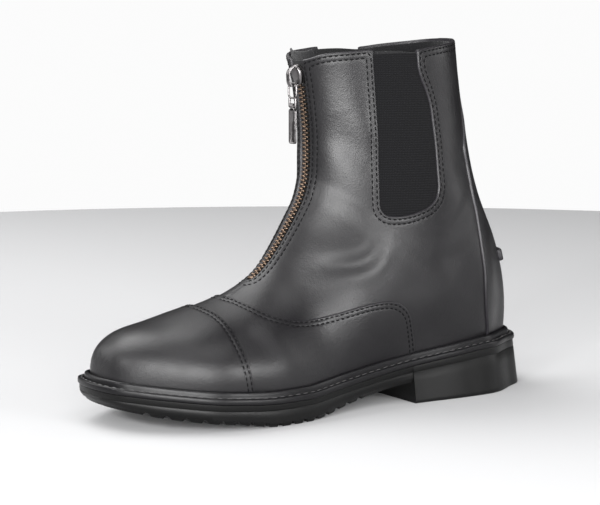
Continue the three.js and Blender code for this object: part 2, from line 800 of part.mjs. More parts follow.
function placket() {
  const under = leather + tapeThickness + 2 * gap;
  const sheet = form(-under).subtract(form(-under - placketThickness, belowFeather));
  const strip = zipStrip(() => placketWidth / 2, headroom, zipLength + 10);
  return sheet.intersect(strip).intersect(belowCollar(placketRise));
}

function zipTeeth() {
  const start = sliderDrop + sliderLength / 2 + gap;
  const count = 2 * Math.round((zipLength - start) / toothPitch);
  const middle = chainThickness / 2 - leather;
  const rings = Array.from({ length: count + 1 }, (_, i) => {
    const frame = frontFrame(THREE.MathUtils.lerp(start, zipLength - bottomStop, i / count));
    const wide = chainWidth / 2;
    const narrow = wide - 1.1;
    const left = -(i % 2 ? wide : narrow);
    const right = i % 2 ? narrow : wide;
    return [
      [left, -1],
      [right, -1],
      [right, 1],
      [left, 1],
    ].map(([x, side]) => inFrame(frame, x, 0, middle + (side * chainThickness) / 2));
  });
  return tube(rings);
}

// The slider: a shield-shaped body round the chain, with a bail that carries the ring.
function zipSlider() {
  const half = sliderWidth / 2;
  const end = sliderLength / 2;
  const shield = new THREE.Shape();
  shield.moveTo(-0.62 * half, -end);
  shield.lineTo(0.62 * half, -end);
  shield.quadraticCurveTo(0.8 * half, -0.2 * end, half, 0.25 * end);
  shield.quadraticCurveTo(half, 0.95 * end, 0.35 * half, end);
  shield.lineTo(-0.35 * half, end);
  shield.quadraticCurveTo(-half, 0.95 * end, -half, 0.25 * end);
  shield.quadraticCurveTo(-0.8 * half, -0.2 * end, -0.62 * half, -end);
  const depth = { depth: sliderThickness, bevelEnabled: false, curveSegments: 4 };
  const body = new THREE.ExtrudeGeometry(shield, depth).translate(0, 0, gap / 2 - leather);
  const arch = new THREE.Shape();
  arch.moveTo(-bailLength / 2, 0);
  arch.lineTo(bailLength / 2, 0);
  arch.quadraticCurveTo(0.5 * bailLength, 0.72 * bailRise, 0.26 * bailLength, 0.88 * bailRise);
  arch.lineTo(-0.3 * bailLength, bailRise);
  arch.quadraticCurveTo(-0.5 * bailLength, bailRise, -bailLength / 2, 0.7 * bailRise);
  const hole = new THREE.Path();
  hole.moveTo(-0.41 * bailLength, 0.28 * bailRise);
  hole.lineTo(0.3 * bailLength, 0.28 * bailRise);
  hole.quadraticCurveTo(0.3 * bailLength, 0.66 * bailRise, 0.15 * bailLength, 0.72 * bailRise);
  hole.lineTo(-0.3 * bailLength, 0.82 * bailRise);
  hole.quadraticCurveTo(-0.41 * bailLength, 0.8 * bailRise, -0.41 * bailLength, 0.6 * bailRise);
  arch.holes.push(hole);
  const bail = new THREE.ExtrudeGeometry(arch, { depth: bailWidth, bevelEnabled: false, curveSegments: 4 });
  bail.applyMatrix4(sideways).translate(-bailWidth / 2, 0, sliderThickness - leather - gap);
  return solidOf(body.applyMatrix4(sliderFrame)).add(solidOf(bail.applyMatrix4(sliderFrame)));
}

// The ring hangs from the bail: a wire loop with two arms down to the tab's pin.
function zipRing() {
  const across = (ringWidth - ringWire) / 2;
  const down = ringLength - ringWire;
  const round = ringWire * 2;
  const corners = [
    [across, 0, -1, 1],
    [across, -down, 1, 1],
    [-across, -down, 1, -1],
    [-across, 0, -1, -1],
  ];
  const path = new THREE.CurvePath();
  const at = (x, z) => new THREE.Vector3(x, 0, z);
  const turns = corners.map(([x, z, up, side]) => {
    const level = at(x - side * round, z);
    const upright = at(x, z + up * round);
    const order = up * side < 0 ? [level, upright] : [upright, level];
    return [order[0], at(x, z), order[1]];
  });
  turns.forEach((turn, i) => {
    path.add(new THREE.QuadraticBezierCurve3(...turn));
    path.add(new THREE.LineCurve3(turn[2], turns[(i + 1) % turns.length][0]));
  });
  const loop = new THREE.TubeGeometry(path, 32, ringWire / 2, 6, true);
  let solid = solidOf(loop);
  const reach = hingeDrop + armEnd - down;
  for (const side of [-1, 1]) {
    const arm = new THREE.BoxGeometry(armWidth, armWidth, reach);
    arm.translate((side * (tabWidth - gap)) / 2, 0, -down - reach / 2);
    solid = solid.add(solidOf(arm));
  }
  const pin = new THREE.CylinderGeometry(pinDiameter / 2, pinDiameter / 2, tabWidth - gap, 8);
  solid = solid.add(solidOf(pin.rotateZ(Math.PI / 2).translate(0, 0, -hingeDrop)));
  return solid.translate(ringPivot.toArray());
}

function zipTab() {
  const half = tabWidth / 2;
  const top = -knuckle - gap;
  const plate = new THREE.Shape();
  const corner = tabWidth / 5;
  plate.moveTo(-half, top);
  plate.lineTo(-half, top - tabLength + corner);
  plate.quadraticCurveTo(-half, top - tabLength, corner - half, top - tabLength);
  plate.lineTo(half - corner, top - tabLength);
  plate.quadraticCurveTo(half, top - tabLength, half, top - tabLength + corner);
  plate.lineTo(half, top);
  const settings = { depth: tabThickness, bevelEnabled: false, curveSegments: 4 };
  const blade = new THREE.ExtrudeGeometry(plate, settings);
  blade.translate(0, 0, -tabThickness / 2).rotateX(Math.PI / 2);
  const width = tabWidth - 2 * armWidth - 2 * gap;
  const barrel = new THREE.CylinderGeometry(knuckle, knuckle, width, 12).rotateZ(Math.PI / 2);
  const neck = new THREE.BoxGeometry(width, tabThickness, 2 * knuckle).translate(0, 0, -knuckle);
  const bore = new THREE.CylinderGeometry(pinDiameter / 2 + gap, pinDiameter / 2 + gap, tabWidth, 12);
  const body = solidOf(blade).add(solidOf(barrel)).add(solidOf(neck));
  const solid = body.subtract(solidOf(bore.rotateZ(Math.PI / 2)));
  return solid.translate(ringPivot.x, ringPivot.y, ringPivot.z - hingeDrop);
}

const materials = {
  rubber: new THREE.MeshStandardMaterial({ color: 0x1c1a1b, roughness: 0.72, metalness: 0 }),
  welt: new THREE.MeshStandardMaterial({ color: 0x232024, roughness: 0.6, metalness: 0 }),
  board: new THREE.MeshStandardMaterial({ color: 0x1b1a1c, roughness: 0.9, metalness: 0 }),
  leather: new THREE.MeshStandardMaterial({ color: 0x2b282e, roughness: 0.45, metalness: 0 }),
  elastic: new THREE.MeshStandardMaterial({ color: 0x1d1c21, roughness: 0.85, metalness: 0 }),
  tape: new THREE.MeshStandardMaterial({ color: 0x17161a, roughness: 0.9, metalness: 0 }),
  brass: new THREE.MeshStandardMaterial({ color: 0x6d5a48, roughness: 0.4, metalness: 1 }),
  nickel: new THREE.MeshStandardMaterial({ color: 0xa3a3a8, roughness: 0.3, metalness: 1 }),
};

const boot = new THREE.Group();

function add(name, solid, material) {
  const mesh = solid.getMesh();
  const geometry = new THREE.BufferGeometry();
  geometry.setAttribute("position", new THREE.BufferAttribute(mesh.vertProperties, 3));
  geometry.setIndex(new THREE.BufferAttribute(mesh.triVerts, 1));
  geometry.computeVertexNormals();
  const piece = new THREE.Mesh(geometry, material.clone());
  piece.name = name;
  boot.add(piece);
}

add("outsole", outsole(), materials.rubber);
add("heel_block", heelBlock(), materials.rubber);
add("welt", welt(), materials.welt);
add("insole", insole(), materials.board);
add("upper", upper(), materials.leather);
add("toe_cap", toeCap(), materials.leather);
add("back_stay", backStay(), materials.leather);
add("gore_lateral", gore(1), materials.elastic);
add("gore_medial", gore(-1), materials.elastic);
add("spur_rest", spurRest(), materials.leather);
add("zip_tape", zipTape(), materials.tape);
add("zip_placket", placket(), materials.leather);
add("zip_teeth", zipTeeth(), materials.brass);
add("zip_slider", zipSlider(), materials.nickel);
add("zip_ring", zipRing(), materials.nickel);
add("zip_tab", zipTab(), materials.nickel);

// The origin lies under the middle of the boot.
const extent = new THREE.Box3().setFromObject(boot);
const middle = extent.getCenter(new THREE.Vector3());
boot.children.forEach((piece) => piece.geometry.translate(-middle.x, -middle.y, -extent.min.z));

export default boot;
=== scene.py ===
# Left paddock boot in black leather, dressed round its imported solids.
# Everything is worked out in millimetres in the last's own frame: toe towards -Y, wearer's left +X.
import math

import bmesh
import bpy
import numpy as np
from mathutils import Matrix, Vector
from mathutils.geometry import delaunay_2d_cdt


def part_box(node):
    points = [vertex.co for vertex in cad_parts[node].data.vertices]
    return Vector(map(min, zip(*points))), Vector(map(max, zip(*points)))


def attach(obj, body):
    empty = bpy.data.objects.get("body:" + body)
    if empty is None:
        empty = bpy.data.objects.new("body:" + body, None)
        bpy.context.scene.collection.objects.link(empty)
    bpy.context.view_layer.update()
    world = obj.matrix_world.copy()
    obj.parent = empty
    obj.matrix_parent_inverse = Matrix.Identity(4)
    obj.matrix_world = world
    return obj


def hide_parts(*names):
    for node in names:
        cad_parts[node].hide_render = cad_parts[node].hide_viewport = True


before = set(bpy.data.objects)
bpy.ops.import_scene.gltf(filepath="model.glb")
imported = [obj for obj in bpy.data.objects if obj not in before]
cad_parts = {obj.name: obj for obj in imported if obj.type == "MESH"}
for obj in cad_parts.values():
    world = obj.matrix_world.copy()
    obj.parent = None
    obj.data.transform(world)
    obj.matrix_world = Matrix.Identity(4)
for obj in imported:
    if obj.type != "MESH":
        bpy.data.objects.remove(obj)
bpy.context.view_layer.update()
bpy.ops.object.select_all(action="DESELECT")

last = {
    "soleLength": 285, "ballWidth": 102, "shaftHeight": 185, "ankleWidth": 76, "legWidth": 63,
    "heelRise": 42, "heelHeight": 17.8, "heelBreast": 0.333, "waistThickness": 9.2,
    "ballThickness": 13.3, "toeThickness": 9, "toeSpring": 12.7, "weltWidth": 6.5,
    "gap": 0.3, "vampStep": 0.9, "capCover": 2.1, "stayCover": 1.3, "toeTip": -0.086,
    "headroom": 9, "headroomRows": 9,  # the surface goes on this far above its last section
    "rows": 330, "columns": 111,  # points of the worked surface along the shoe and down each side
}
rimTable = [  # along the sole, lateral and medial half-widths in ballWidths
    (0.02, 0.177, 0.16), (0.06, 0.249, 0.25), (0.12, 0.351, 0.31), (0.2, 0.371, 0.335),
    (0.35, 0.36, 0.314), (0.5, 0.411, 0.33), (0.62, 0.496, 0.44), (0.72, 0.511, 0.5),
    (0.82, 0.468, 0.521), (0.9, 0.34, 0.471), (0.955, 0.212, 0.386), (0.985, 0.112, 0.296),
]
soleTable = [  # along, lift, rise, ball, toe, tuck
    (0, 1, 0, 0, 0, -0.18), (0.12, 1, 0, 0, 0, -0.18), (0.25, 0.774, 0, 0, 0, -0.15),
    (0.33, 0.6, 0, 0.02, 0, -0.05), (0.4, 0.438, 0, 0.1, 0, 0.2), (0.5, 0.2, 0, 0.55, 0, 0.32),
    (0.57, 0.06, 0, 0.98, 0, 0.3), (0.61, 0, 0, 1, 0, 0.25), (0.685, 0, 0, 1, 0, 0.25),
    (0.78, 0, 0.19, 0.6, 0.4, 0.3), (0.9, 0, 0.6, 0.5, 0.5, 0.4), (1, 0, 1, 0, 1, 0.6),
]
coverTable = [  # along, stay, vamp, cap
    (0, 1, 0, 0), (0.12, 1, 0, 0), (0.26, 0, 0.2, 0), (0.4, 0, 1, 0), (0.66, 0, 1, 0),
    (0.73, 0, 0, 1), (1, 0, 0, 1),
]
lastColumns = ("frontY", "frontRise", "backY", "backRise", "foot", "ankle", "leg", "centre",
               "widest", "brow", "nape")
lastTable = [  # sections fanned from the toe over the instep to the collar
    (-0.5, 0, -0.5, 0, 1, 0, 0, -0.086, 0.7, 2.3, 2.4),
    (-0.4926, 0.1, -0.4926, 0, 1.01, 0, 0, -0.085, 0.7, 2.3, 2.4),
    (-0.4706, 0.14, -0.4706, 0, 1.02, 0, 0, -0.081, 0.7, 2.3, 2.4),
    (-0.4338, 0.172, -0.4301, 0, 1.02, 0, 0, -0.073, 0.7, 2.25, 2.4),
    (-0.3787, 0.198, -0.3713, 0, 1.02, 0, 0, -0.06, 0.7, 2.1, 2.4),
    (-0.3125, 0.237, -0.2941, 0, 1.02, 0, 0, -0.047, 0.72, 1.95, 2.4),
    (-0.25, 0.27, -0.2132, 0, 1.02, 0, 0, -0.034, 0.74, 1.85, 2.4),
    (-0.1912, 0.311, -0.125, 0, 1.03, 0, 0, -0.024, 0.74, 1.8, 2.4),
    (-0.1397, 0.363, -0.0147, 0, 0.9, 0.17, 0, -0.015, 0.7, 1.8, 2.4),
    (-0.0956, 0.438, 0.1287, 0, 0.3, 0.76, 0, -0.008, 0.6, 1.85, 2.4),
    (-0.0588, 0.519, 0.3015, 0, 0.1, 0.93, 0, -0.003, 0.52, 1.95, 2.4),
    (-0.0423, 0.559, 0.3971, 0, 0.03, 0.97, 0, 0, 0.48, 2, 2.4),
    (-0.0331, 0.588, 0.4596, 0, 0, 0.98, 0, 0, 0.46, 2.05, 2.35),
    (-0.0265, 0.624, 0.4908, 0, 0, 0.97, 0, 0, 0.46, 2.1, 2.3),
    (-0.0245, 0.64, 0.5, 0, 0, 0.965, 0, 0, 0.46, 2.1, 2.3),
    (-0.0228, 0.662, 0.5018, 0.079, 0, 0.96, 0, 0, 0.46, 2.15, 2.3),
    (-0.0213, 0.715, 0.4945, 0.177, 0, 0.79, 0.2, 0, 0.47, 2.2, 2.3),
    (-0.0221, 0.769, 0.4706, 0.312, 0, 0.59, 0.4, 0, 0.48, 2.2, 2.3),
    (-0.0257, 0.835, 0.4173, 0.479, 0, 0.35, 0.65, 0, 0.5, 2.25, 2.3),
    (-0.0316, 0.906, 0.3897, 0.626, 0, 0.12, 0.88, 0, 0.5, 2.3, 2.3),
    (-0.0404, 0.97, 0.375, 0.773, 0, 0.03, 0.97, 0, 0.5, 2.3, 2.3),
    (-0.0551, 1.034, 0.3566, 1.001, 0, 0, 1, 0, 0.5, 2.3, 2.3),
]

lastToe = -last["soleLength"] / 2 + last["weltWidth"] + last["capCover"]
lastHeel = last["soleLength"] / 2 - last["weltWidth"] - last["stayCover"]
footLength = lastHeel - lastToe


def lengthwise(share):
    return (lastHeel + lastToe) / 2 + share * footLength


# The last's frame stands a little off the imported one, which is centred on its own box.
heelFront = last["soleLength"] * (0.5 - last["heelBreast"])
tabBox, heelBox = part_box("zip_tab"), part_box("heel_block")
frameShift = np.array([(tabBox[0][0] + tabBox[1][0]) / 2, heelBox[0][1] - heelFront / 1000, 0])


def through(places, values):  # a smooth curve through values that never swings past them
    x, y = np.array(places, float), np.array(values, float)
    step = np.diff(x)
    rise = np.diff(y) / step
    slope = np.concatenate([rise[:1], np.zeros(len(x) - 2), rise[-1:]])
    for i in range(1, len(x) - 1):
        if rise[i - 1] * rise[i] > 0:
            before, after = 2 * step[i] + step[i - 1], step[i] + 2 * step[i - 1]
            slope[i] = (before + after) / (before / rise[i - 1] + after / rise[i])

    def at(q):
        q = np.clip(q, x[0], x[-1])
        i = np.clip(np.searchsorted(x, q, side="right") - 1, 0, len(x) - 2)
        t = (q - x[i]) / step[i]
        low = y[i] * (1 + 2 * t) + slope[i] * step[i] * t
        high = y[i + 1] * (3 - 2 * t) + slope[i + 1] * step[i] * (t - 1)
        return low * (1 - t) ** 2 + high * t * t

    return at


def smoothstep(x, low, high):
    t = np.clip((x - low) / (high - low), 0, 1)
    return t * t * (3 - 2 * t)


def lerp(a, b, t):
    return a + (b - a) * t


soleColumns = list(zip(*soleTable))
sole = {name: through(soleColumns[0], soleColumns[i + 1])
        for i, name in enumerate(("lift", "rise", "ball", "toe", "tuck"))}
coverColumns = list(zip(*coverTable))
cover = {name: through(coverColumns[0], coverColumns[i + 1])
         for i, name in enumerate(("stay", "vamp", "cap"))}
section = {name: through(range(len(lastTable)), [row[i] for row in lastTable])
           for i, name in enumerate(lastColumns)}


def alongOf(y):
    return 0.5 - y / last["soleLength"]


seatTop = last["heelHeight"] + last["gap"] + last["waistThickness"]


def outsoleTop(y):
    p = alongOf(y)
    lift = sole["lift"](p) * (seatTop - last["ballThickness"])
    toeTop = last["toeSpring"] + last["toeThickness"]
    return last["ballThickness"] + lift + sole["rise"](p) * (toeTop - last["ballThickness"])


def outsoleUnder(y):
    p = alongOf(y)
    waist = last["waistThickness"]
    ball = sole["ball"](p) * (last["ballThickness"] - waist)
    return outsoleTop(y) - waist - ball - sole["toe"](p) * (last["toeThickness"] - waist)


def featherHeight(y):
    return outsoleTop(y) + last["gap"]


def bend(a, b, c, d, t):  # the smooth stretch from b to c, with a before it and d after it
    before, here, after = (max(np.linalg.norm(q - p) ** 0.5, 1e-6)
                           for p, q in ((a, b), (b, c), (c, d)))
    start = ((b - a) / before - (c - a) / (before + here) + (c - b) / here) * here
    end = ((c - b) / here - (d - b) / (here + after) + (d - c) / after) * here
    return (b + start * t + (3 * (c - b) - 2 * start - end) * t ** 2
            + (2 * (b - c) + start + end) * t ** 3)


def reachOf(line):  # how far along a line each of its points lies
    return np.concatenate([[0], np.cumsum(np.linalg.norm(np.diff(line, axis=0), axis=1))])


def rimCurve():  # the rim of the welt in plan, from the heel along the lateral side
    half, width = last["soleLength"] / 2, last["ballWidth"]
    lateral = [(row[1] * width, half - row[0] * 2 * half) for row in rimTable]
    medial = [(-row[2] * width, half - row[0] * 2 * half) for row in rimTable]
    points = np.array([(0, half)] + lateral + [(last["toeTip"] * width, -half)] + medial[::-1])
    line = []
    t = np.linspace(0, 1, 60, endpoint=False)[:, None]
    for i in range(len(points)):
        line.append(bend(*(points[(i + k) % len(points)] for k in (-1, 0, 1, 2)), t))
    return np.vstack(line)


rimLine = rimCurve()


def spaced(points, count, closed=False):  # the same line with its points evenly spaced
    loop = np.vstack([points, points[:1]]) if closed else points
    reach = reachOf(loop)
    wanted = np.linspace(0, reach[-1], count, endpoint=not closed)
    return np.stack([np.interp(wanted, reach, loop[:, k]) for k in range(loop.shape[1])], axis=1)


def ring(inset, count):  # a ring inside the rim; inset is a length or a function of y
    line = spaced(rimLine, count, closed=True)
    tangent = np.roll(line, -1, axis=0) - np.roll(line, 1, axis=0)
    tangent /= np.linalg.norm(tangent, axis=1)[:, None]
    depth = inset(line[:, 1]) if callable(inset) else np.full(count, float(inset))
    return line + depth[:, None] * np.stack([tangent[:, 1], -tangent[:, 0]], axis=1)


def featherInset(y):
    p = alongOf(y)
    return (last["weltWidth"] + cover["stay"](p) * last["stayCover"]
            + cover["vamp"](p) * last["vampStep"] + cover["cap"](p) * last["capCover"])


def halvesOf(line):  # the lateral and medial halves of a ring, each as x over rising y
    back, toe = np.argmax(line[:, 1]), np.argmin(line[:, 1])
    turned = np.roll(line, -back, axis=0)
    toe = (toe - back) % len(line)
    lateral, medial = turned[:toe + 1][::-1], np.vstack([turned[toe:], turned[:1]])
    return {1: lateral, -1: medial}


feather = halvesOf(ring(featherInset, 1200))


def edgeAt(y, side, centre):
    line = feather[side]
    x = np.interp(y, line[:, 1], line[:, 0])
    inside = (y > line[0, 1]) & (y < line[-1, 1])
    return np.where(inside, np.maximum(0, side * (x - centre)), 0)


heelMiddle = lengthwise(0.3)
firstClosed = 14  # from this section on, the two sides meet at the back line
backRows = lastTable[firstClosed:]
backPlace = through([row[3] for row in backRows], [row[2] for row in backRows])


def sectionSide(row, side, count):  # one side of a section, from the front line to its lower end
    value = {name: float(curve(row)) for name, curve in section.items()}
    front, back = lengthwise(value["frontY"]), lengthwise(value["backY"])
    top = featherHeight(front) + value["frontRise"] * last["shaftHeight"]
    low = featherHeight(back) + value["backRise"] * last["shaftHeight"]
    centre = value["centre"] * last["ballWidth"]
    foot = 0 if value["backRise"] > 0 else float(edgeAt(back, side, centre))
    half = value["foot"] * foot + (value["ankle"] * last["ankleWidth"]
                                   + value["leg"] * last["legWidth"]) / 2
    widest, brow, nape = value["widest"], value["brow"], value["nape"]
    tuck = min(1, foot / half) if half > 0 else 1
    cut = 1 - tuck ** nape
    bulgeRise = lerp(top, low, widest) - featherHeight(lerp(front, back, widest))
    limit = min(bulgeRise, last["heelRise"])
    angle = np.linspace(0, math.pi / 2, 60)
    share = widest * (1 - np.cos(angle) ** (2 / brow))
    width = half * np.sin(angle) ** (2 / brow)
    angle = np.linspace(0, math.asin(math.sqrt(cut)), 90)[1:]
    lower = np.minimum(1, np.sin(angle) ** (2 / nape) / max(cut, 1e-9) ** (1 / nape))
    reach = widest + (1 - widest) * lower
    y, z = lerp(front, back, reach), lerp(top, low, reach)
    rise = z - featherHeight(y)
    height = (z - featherHeight(lastHeel)) / last["shaftHeight"]
    spread = (lengthwise(backPlace(height)) - heelMiddle) / (lastHeel - heelMiddle)
    here = np.minimum(y, heelMiddle)
    swell = half / np.maximum(edgeAt(here, side, centre), 1e-6) - 1
    edge = edgeAt(here + np.maximum(0, y - heelMiddle) / spread, side, centre)
    lowHalf = edge * (1 + swell * smoothstep(rise / max(limit, 1e-6), 0, 1))
    roundHalf = half * np.cos(angle) ** (2 / nape)
    blend = smoothstep(rise, last["heelRise"], 2 * last["heelRise"])
    share = np.concatenate([share, reach])
    width = np.concatenate([width, lerp(lowHalf, roundHalf, blend)])
    points = np.stack([centre + side * width, lerp(front, back, share), lerp(top, low, share)], axis=1)
    return spaced(points, count)


def blurred(values, width):  # smoothed along its first axis, ends kept
    size = int(3 * width)
    kernel = np.exp(-0.5 * (np.arange(-size, size + 1) / width) ** 2)
    kernel /= kernel.sum()
    before = 2 * values[:1] - values[size:0:-1]
    after = 2 * values[-1:] - values[-2:-size - 2:-1]
    padded = np.concatenate([before, values, after])
    return sum(k * padded[i:i + len(values)] for i, k in enumerate(kernel))


def workedSurface():
    fine = np.linspace(0, len(lastTable) - 1, 421)
    front, back = (np.stack([section[end + "Y"](fine) * footLength,
                             section[end + "Rise"](fine) * last["shaftHeight"]])
                   for end in ("front", "back"))
    moved = np.maximum(*(np.linalg.norm(np.diff(end, axis=1), axis=0) for end in (front, back)))
    reach = np.concatenate([[0], np.cumsum(moved + 12 * np.diff(fine))])
    places = np.interp(np.linspace(0, reach[-1], last["rows"]), reach, fine)
    rows = []
    for i, row in enumerate(places):
        if i == 0:
            pole = (last["toeTip"] * last["ballWidth"], lastToe, float(featherHeight(lastToe)))
            rows.append(np.tile(pole, (2 * last["columns"] - 1, 1)))
            continue
        lateral, medial = (sectionSide(row, side, last["columns"]) for side in (1, -1))
        rows.append(np.vstack([medial[::-1], lateral[1:]]))
    grid = blurred(np.array(rows), 4)
    grid = np.swapaxes(blurred(np.swapaxes(grid, 0, 1), 2), 0, 1)
    shut = places >= firstClosed
    grid[shut, 0] = grid[shut, -1] = (grid[shut, 0] + grid[shut, -1]) / 2
    rise = grid[-1] - grid[-4]
    rise /= np.linalg.norm(rise, axis=1)[:, None]
    more = last["headroomRows"]
    above = [grid[-1] + rise * last["headroom"] * k / more for k in range(1, more + 1)]
    return np.concatenate([grid, above]), np.concatenate([places, np.full(more, places[-1])])


def normalsOf(grid, shut):
    down = np.gradient(grid, axis=0)
    across = np.gradient(grid, axis=1)
    across[shut, 0] = across[shut, -1] = grid[shut, 1] - grid[shut, -2]
    normal = np.cross(across, down)
    size = np.linalg.norm(normal, axis=2)[:, :, None]
    return normal / np.maximum(size, 1e-9)


surface, rowPlaces = workedSurface()
shutRows = rowPlaces >= firstClosed + 0.2
frontColumn = last["columns"] - 1
frontLine = surface[:last["rows"], frontColumn][::-1]  # from the top section down to the toe
frontReach = reachOf(frontLine)
print("stage: last worked out,", surface.shape)

# Lines on the side of the upper: place in footLengths, rise above the feather edge in shaftHeights.
sideLines = {
    "collar": [(-0.095, 0.962), (-0.083, 0.982), (-0.046, 1.004), (-0.024, 1.019), (0.043, 1.02),
               (0.08, 1.018), (0.137, 1.01), (0.196, 0.996), (0.245, 0.996), (0.314, 0.996),
               (0.36, 0.999), (0.42, 1.005)],
    "elasticTop": [(0.03, 1.002), (0.09, 1), (0.14, 0.995), (0.196, 0.984), (0.24, 0.97)],
    "gore": [(0.082, 1.12), (0.082, 0.998), (0.085, 0.95), (0.091, 0.838), (0.095, 0.706),
             (0.096, 0.54), (0.099, 0.514), (0.11, 0.497), (0.131, 0.488), (0.162, 0.485),
             (0.197, 0.491), (0.223, 0.502), (0.239, 0.522), (0.246, 0.554), (0.245, 0.598),
             (0.243, 0.693), (0.238, 0.751), (0.232, 0.808), (0.22, 0.86), (0.208, 0.896),
             (0.198, 0.935), (0.195, 0.976), (0.195, 1.12)],
    "vamp": [(-0.24, 0.45), (-0.224, 0.295), (-0.216, 0.287), (-0.197, 0.267), (-0.18, 0.251),
             (-0.158, 0.239), (-0.119, 0.227), (-0.076, 0.223), (-0.033, 0.226), (0.01, 0.231),
             (0.054, 0.235), (0.092, 0.233), (0.12, 0.224), (0.146, 0.201), (0.162, 0.173),
             (0.173, 0.135), (0.183, 0.093), (0.191, 0.055), (0.2, -0.05)],
    "cap": [(-0.299, 0.404), (-0.284, 0.263), (-0.271, 0.234), (-0.266, 0.165), (-0.258, 0.09),
            (-0.247, 0.01), (-0.243, -0.05)],
    "stay": [(0.408, -0.05), (0.399, 0.052), (0.387, 0.106), (0.376, 0.179), (0.372, 0.246),
             (0.367, 0.309), (0.361, 0.438), (0.357, 0.509), (0.351, 0.586), (0.344, 0.656),
             (0.354, 0.705), (0.3645, 0.77), (0.36, 0.878), (0.351, 0.997), (0.346, 1.08)],
}


def curved(points, steps=8):  # a smooth line through its points
    line = np.array(points, float)
    ends = np.vstack([2 * line[0] - line[1], line, 2 * line[-1] - line[-2]])
    t = np.linspace(0, 1, steps, endpoint=False)[:, None]
    found = [bend(*four, t) for four in zip(ends, ends[1:], ends[2:], ends[3:])]
    return np.vstack(found + [line[-1:]])


def sideLine(name):
    rows = np.array(sideLines[name])
    y = lengthwise(rows[:, 0])
    return curved(np.stack([y, featherHeight(y) + rows[:, 1] * last["shaftHeight"]], axis=1))


def nearLine(line, places):  # distance to an open line, how far along it, and the side of it
    best, along, side = np.full(len(places), np.inf), np.zeros(len(places)), np.ones(len(places))
    reach = reachOf(line)
    for a, b, start in zip(line[:-1], line[1:], reach):
        step = b - a
        size = np.linalg.norm(step)
        share = np.clip(((places - a) @ step) / size ** 2, 0, 1)
        off = places - a - share[:, None] * step
        distance = np.linalg.norm(off, axis=1)
        closer = distance < best
        best = np.where(closer, distance, best)
        along = np.where(closer, (start + share * size) / reach[-1], along)
        turn = off[:, 0] * step[1] - off[:, 1] * step[0]
        side = np.where(closer, np.where(turn >= 0, 1, -1), side)
    return best, along, side


# Wear: each crease runs through places (y, z) on one side, with its width and depth in mm.
wear = {
    1: [([(25.3, 99.4), (22.6, 93.3), (16.7, 87.5), (8.4, 84.9), (-1.2, 84.2), (-12.8, 83.2)],
         4.6, 0.85),
        ([(95, 122), (87.7, 112.1), (79.4, 102.9), (70, 97)], 5, 0.6),
        ([(2, 172), (6, 160), (12, 150), (19, 143)], 8, 0.5),
        ([(-20, 108), (-8, 104), (4, 107), (15, 113)], 8, 0.5),
        ([(60, 90), (72, 84), (86, 82)], 7, 0.4),
        ([(84, 150), (88, 138), (92, 128)], 6, 0.35),
        ([(-66, 52), (-58, 45), (-52, 36)], 6, 0.4),
        ([(-46, 50), (-38, 44), (-30, 34)], 7, 0.35)],
    -1: [([(28, 96), (20, 89), (8, 85), (-6, 84)], 5, 0.6),
         ([(94, 120), (86, 111), (76, 103)], 6, 0.5),
         ([(0, 170), (8, 156), (16, 146)], 8, 0.45),
         ([(-64, 50), (-56, 44), (-50, 35)], 6, 0.4)],
}


def oneSide(side):  # one side of the worked surface, from the front line out
    take = slice(frontColumn, None) if side > 0 else slice(frontColumn, None, -1)
    points, normal = surface[:, take], surfaceNormals[:, take]
    places = points[:, :, 1:].reshape(-1, 2)
    dip = np.zeros(len(places))
    for line, width, depth in wear[side]:
        distance, along, _ = nearLine(curved(line), places)
        fade = np.sin(np.pi * np.clip(along, 0.02, 0.98)) ** 0.7
        dip += fade * depth * (0.45 * np.exp(-((distance - 1.7 * width) / width) ** 2)
                               - np.exp(-(distance / width) ** 2))
    dip = dip.reshape(points.shape[:2])
    rows = points[:, 0, 1:]
    arc = np.zeros(points.shape[:2])
    arc[:, 1:] = np.cumsum(np.linalg.norm(np.diff(points, axis=1), axis=2), axis=1)
    aim = points[:, -1, 1:] - rows
    aim[0] = aim[1]
    aim /= np.linalg.norm(aim, axis=1)[:, None]
    more = last["headroomRows"]
    down = np.concatenate([frontReach[::-1], -np.arange(1, more + 1) * last["headroom"] / more])
    return {"side": side, "points": points + normal * dip[:, :, None], "normal": normal,
            "flat": rows[:, None] + aim[:, None] * arc[:, :, None], "arc": arc,
            "down": np.repeat(down[:, None], points.shape[1], axis=1), "places": points[:, :, 1:]}


def evened(half, field):  # a field's values turned to lengths on the surface near its zero
    across, down = np.gradient(half["points"], axis=1), np.gradient(half["points"], axis=0)
    fieldAcross, fieldDown = np.gradient(field, axis=1), np.gradient(field, axis=0)
    a, b, c = (across * across).sum(2), (across * down).sum(2), (down * down).sum(2)
    size = np.maximum(a * c - b * b, 1e-9)
    slope = (c * fieldAcross ** 2 - 2 * b * fieldAcross * fieldDown + a * fieldDown ** 2) / size
    return field / np.clip(np.sqrt(np.maximum(slope, 1e-9)), 0.55, 1.6)


def lineField(half, name):
    places = half["places"].reshape(-1, 2)
    distance, _, side = nearLine(sideLine(name), places)
    return evened(half, (distance * side).reshape(half["arc"].shape))


slot = {"top": 6.2, "middle": 5.2, "low": 3, "end": 143}  # half-widths of the zip's opening


def slotField(half):
    width = np.interp(half["down"], [0, 14, 60, slot["end"]],
                      [slot["top"], slot["middle"], slot["middle"], slot["low"]])
    past = np.maximum(0, half["down"] - (slot["end"] - slot["low"]))
    return np.hypot(half["arc"], past) - width


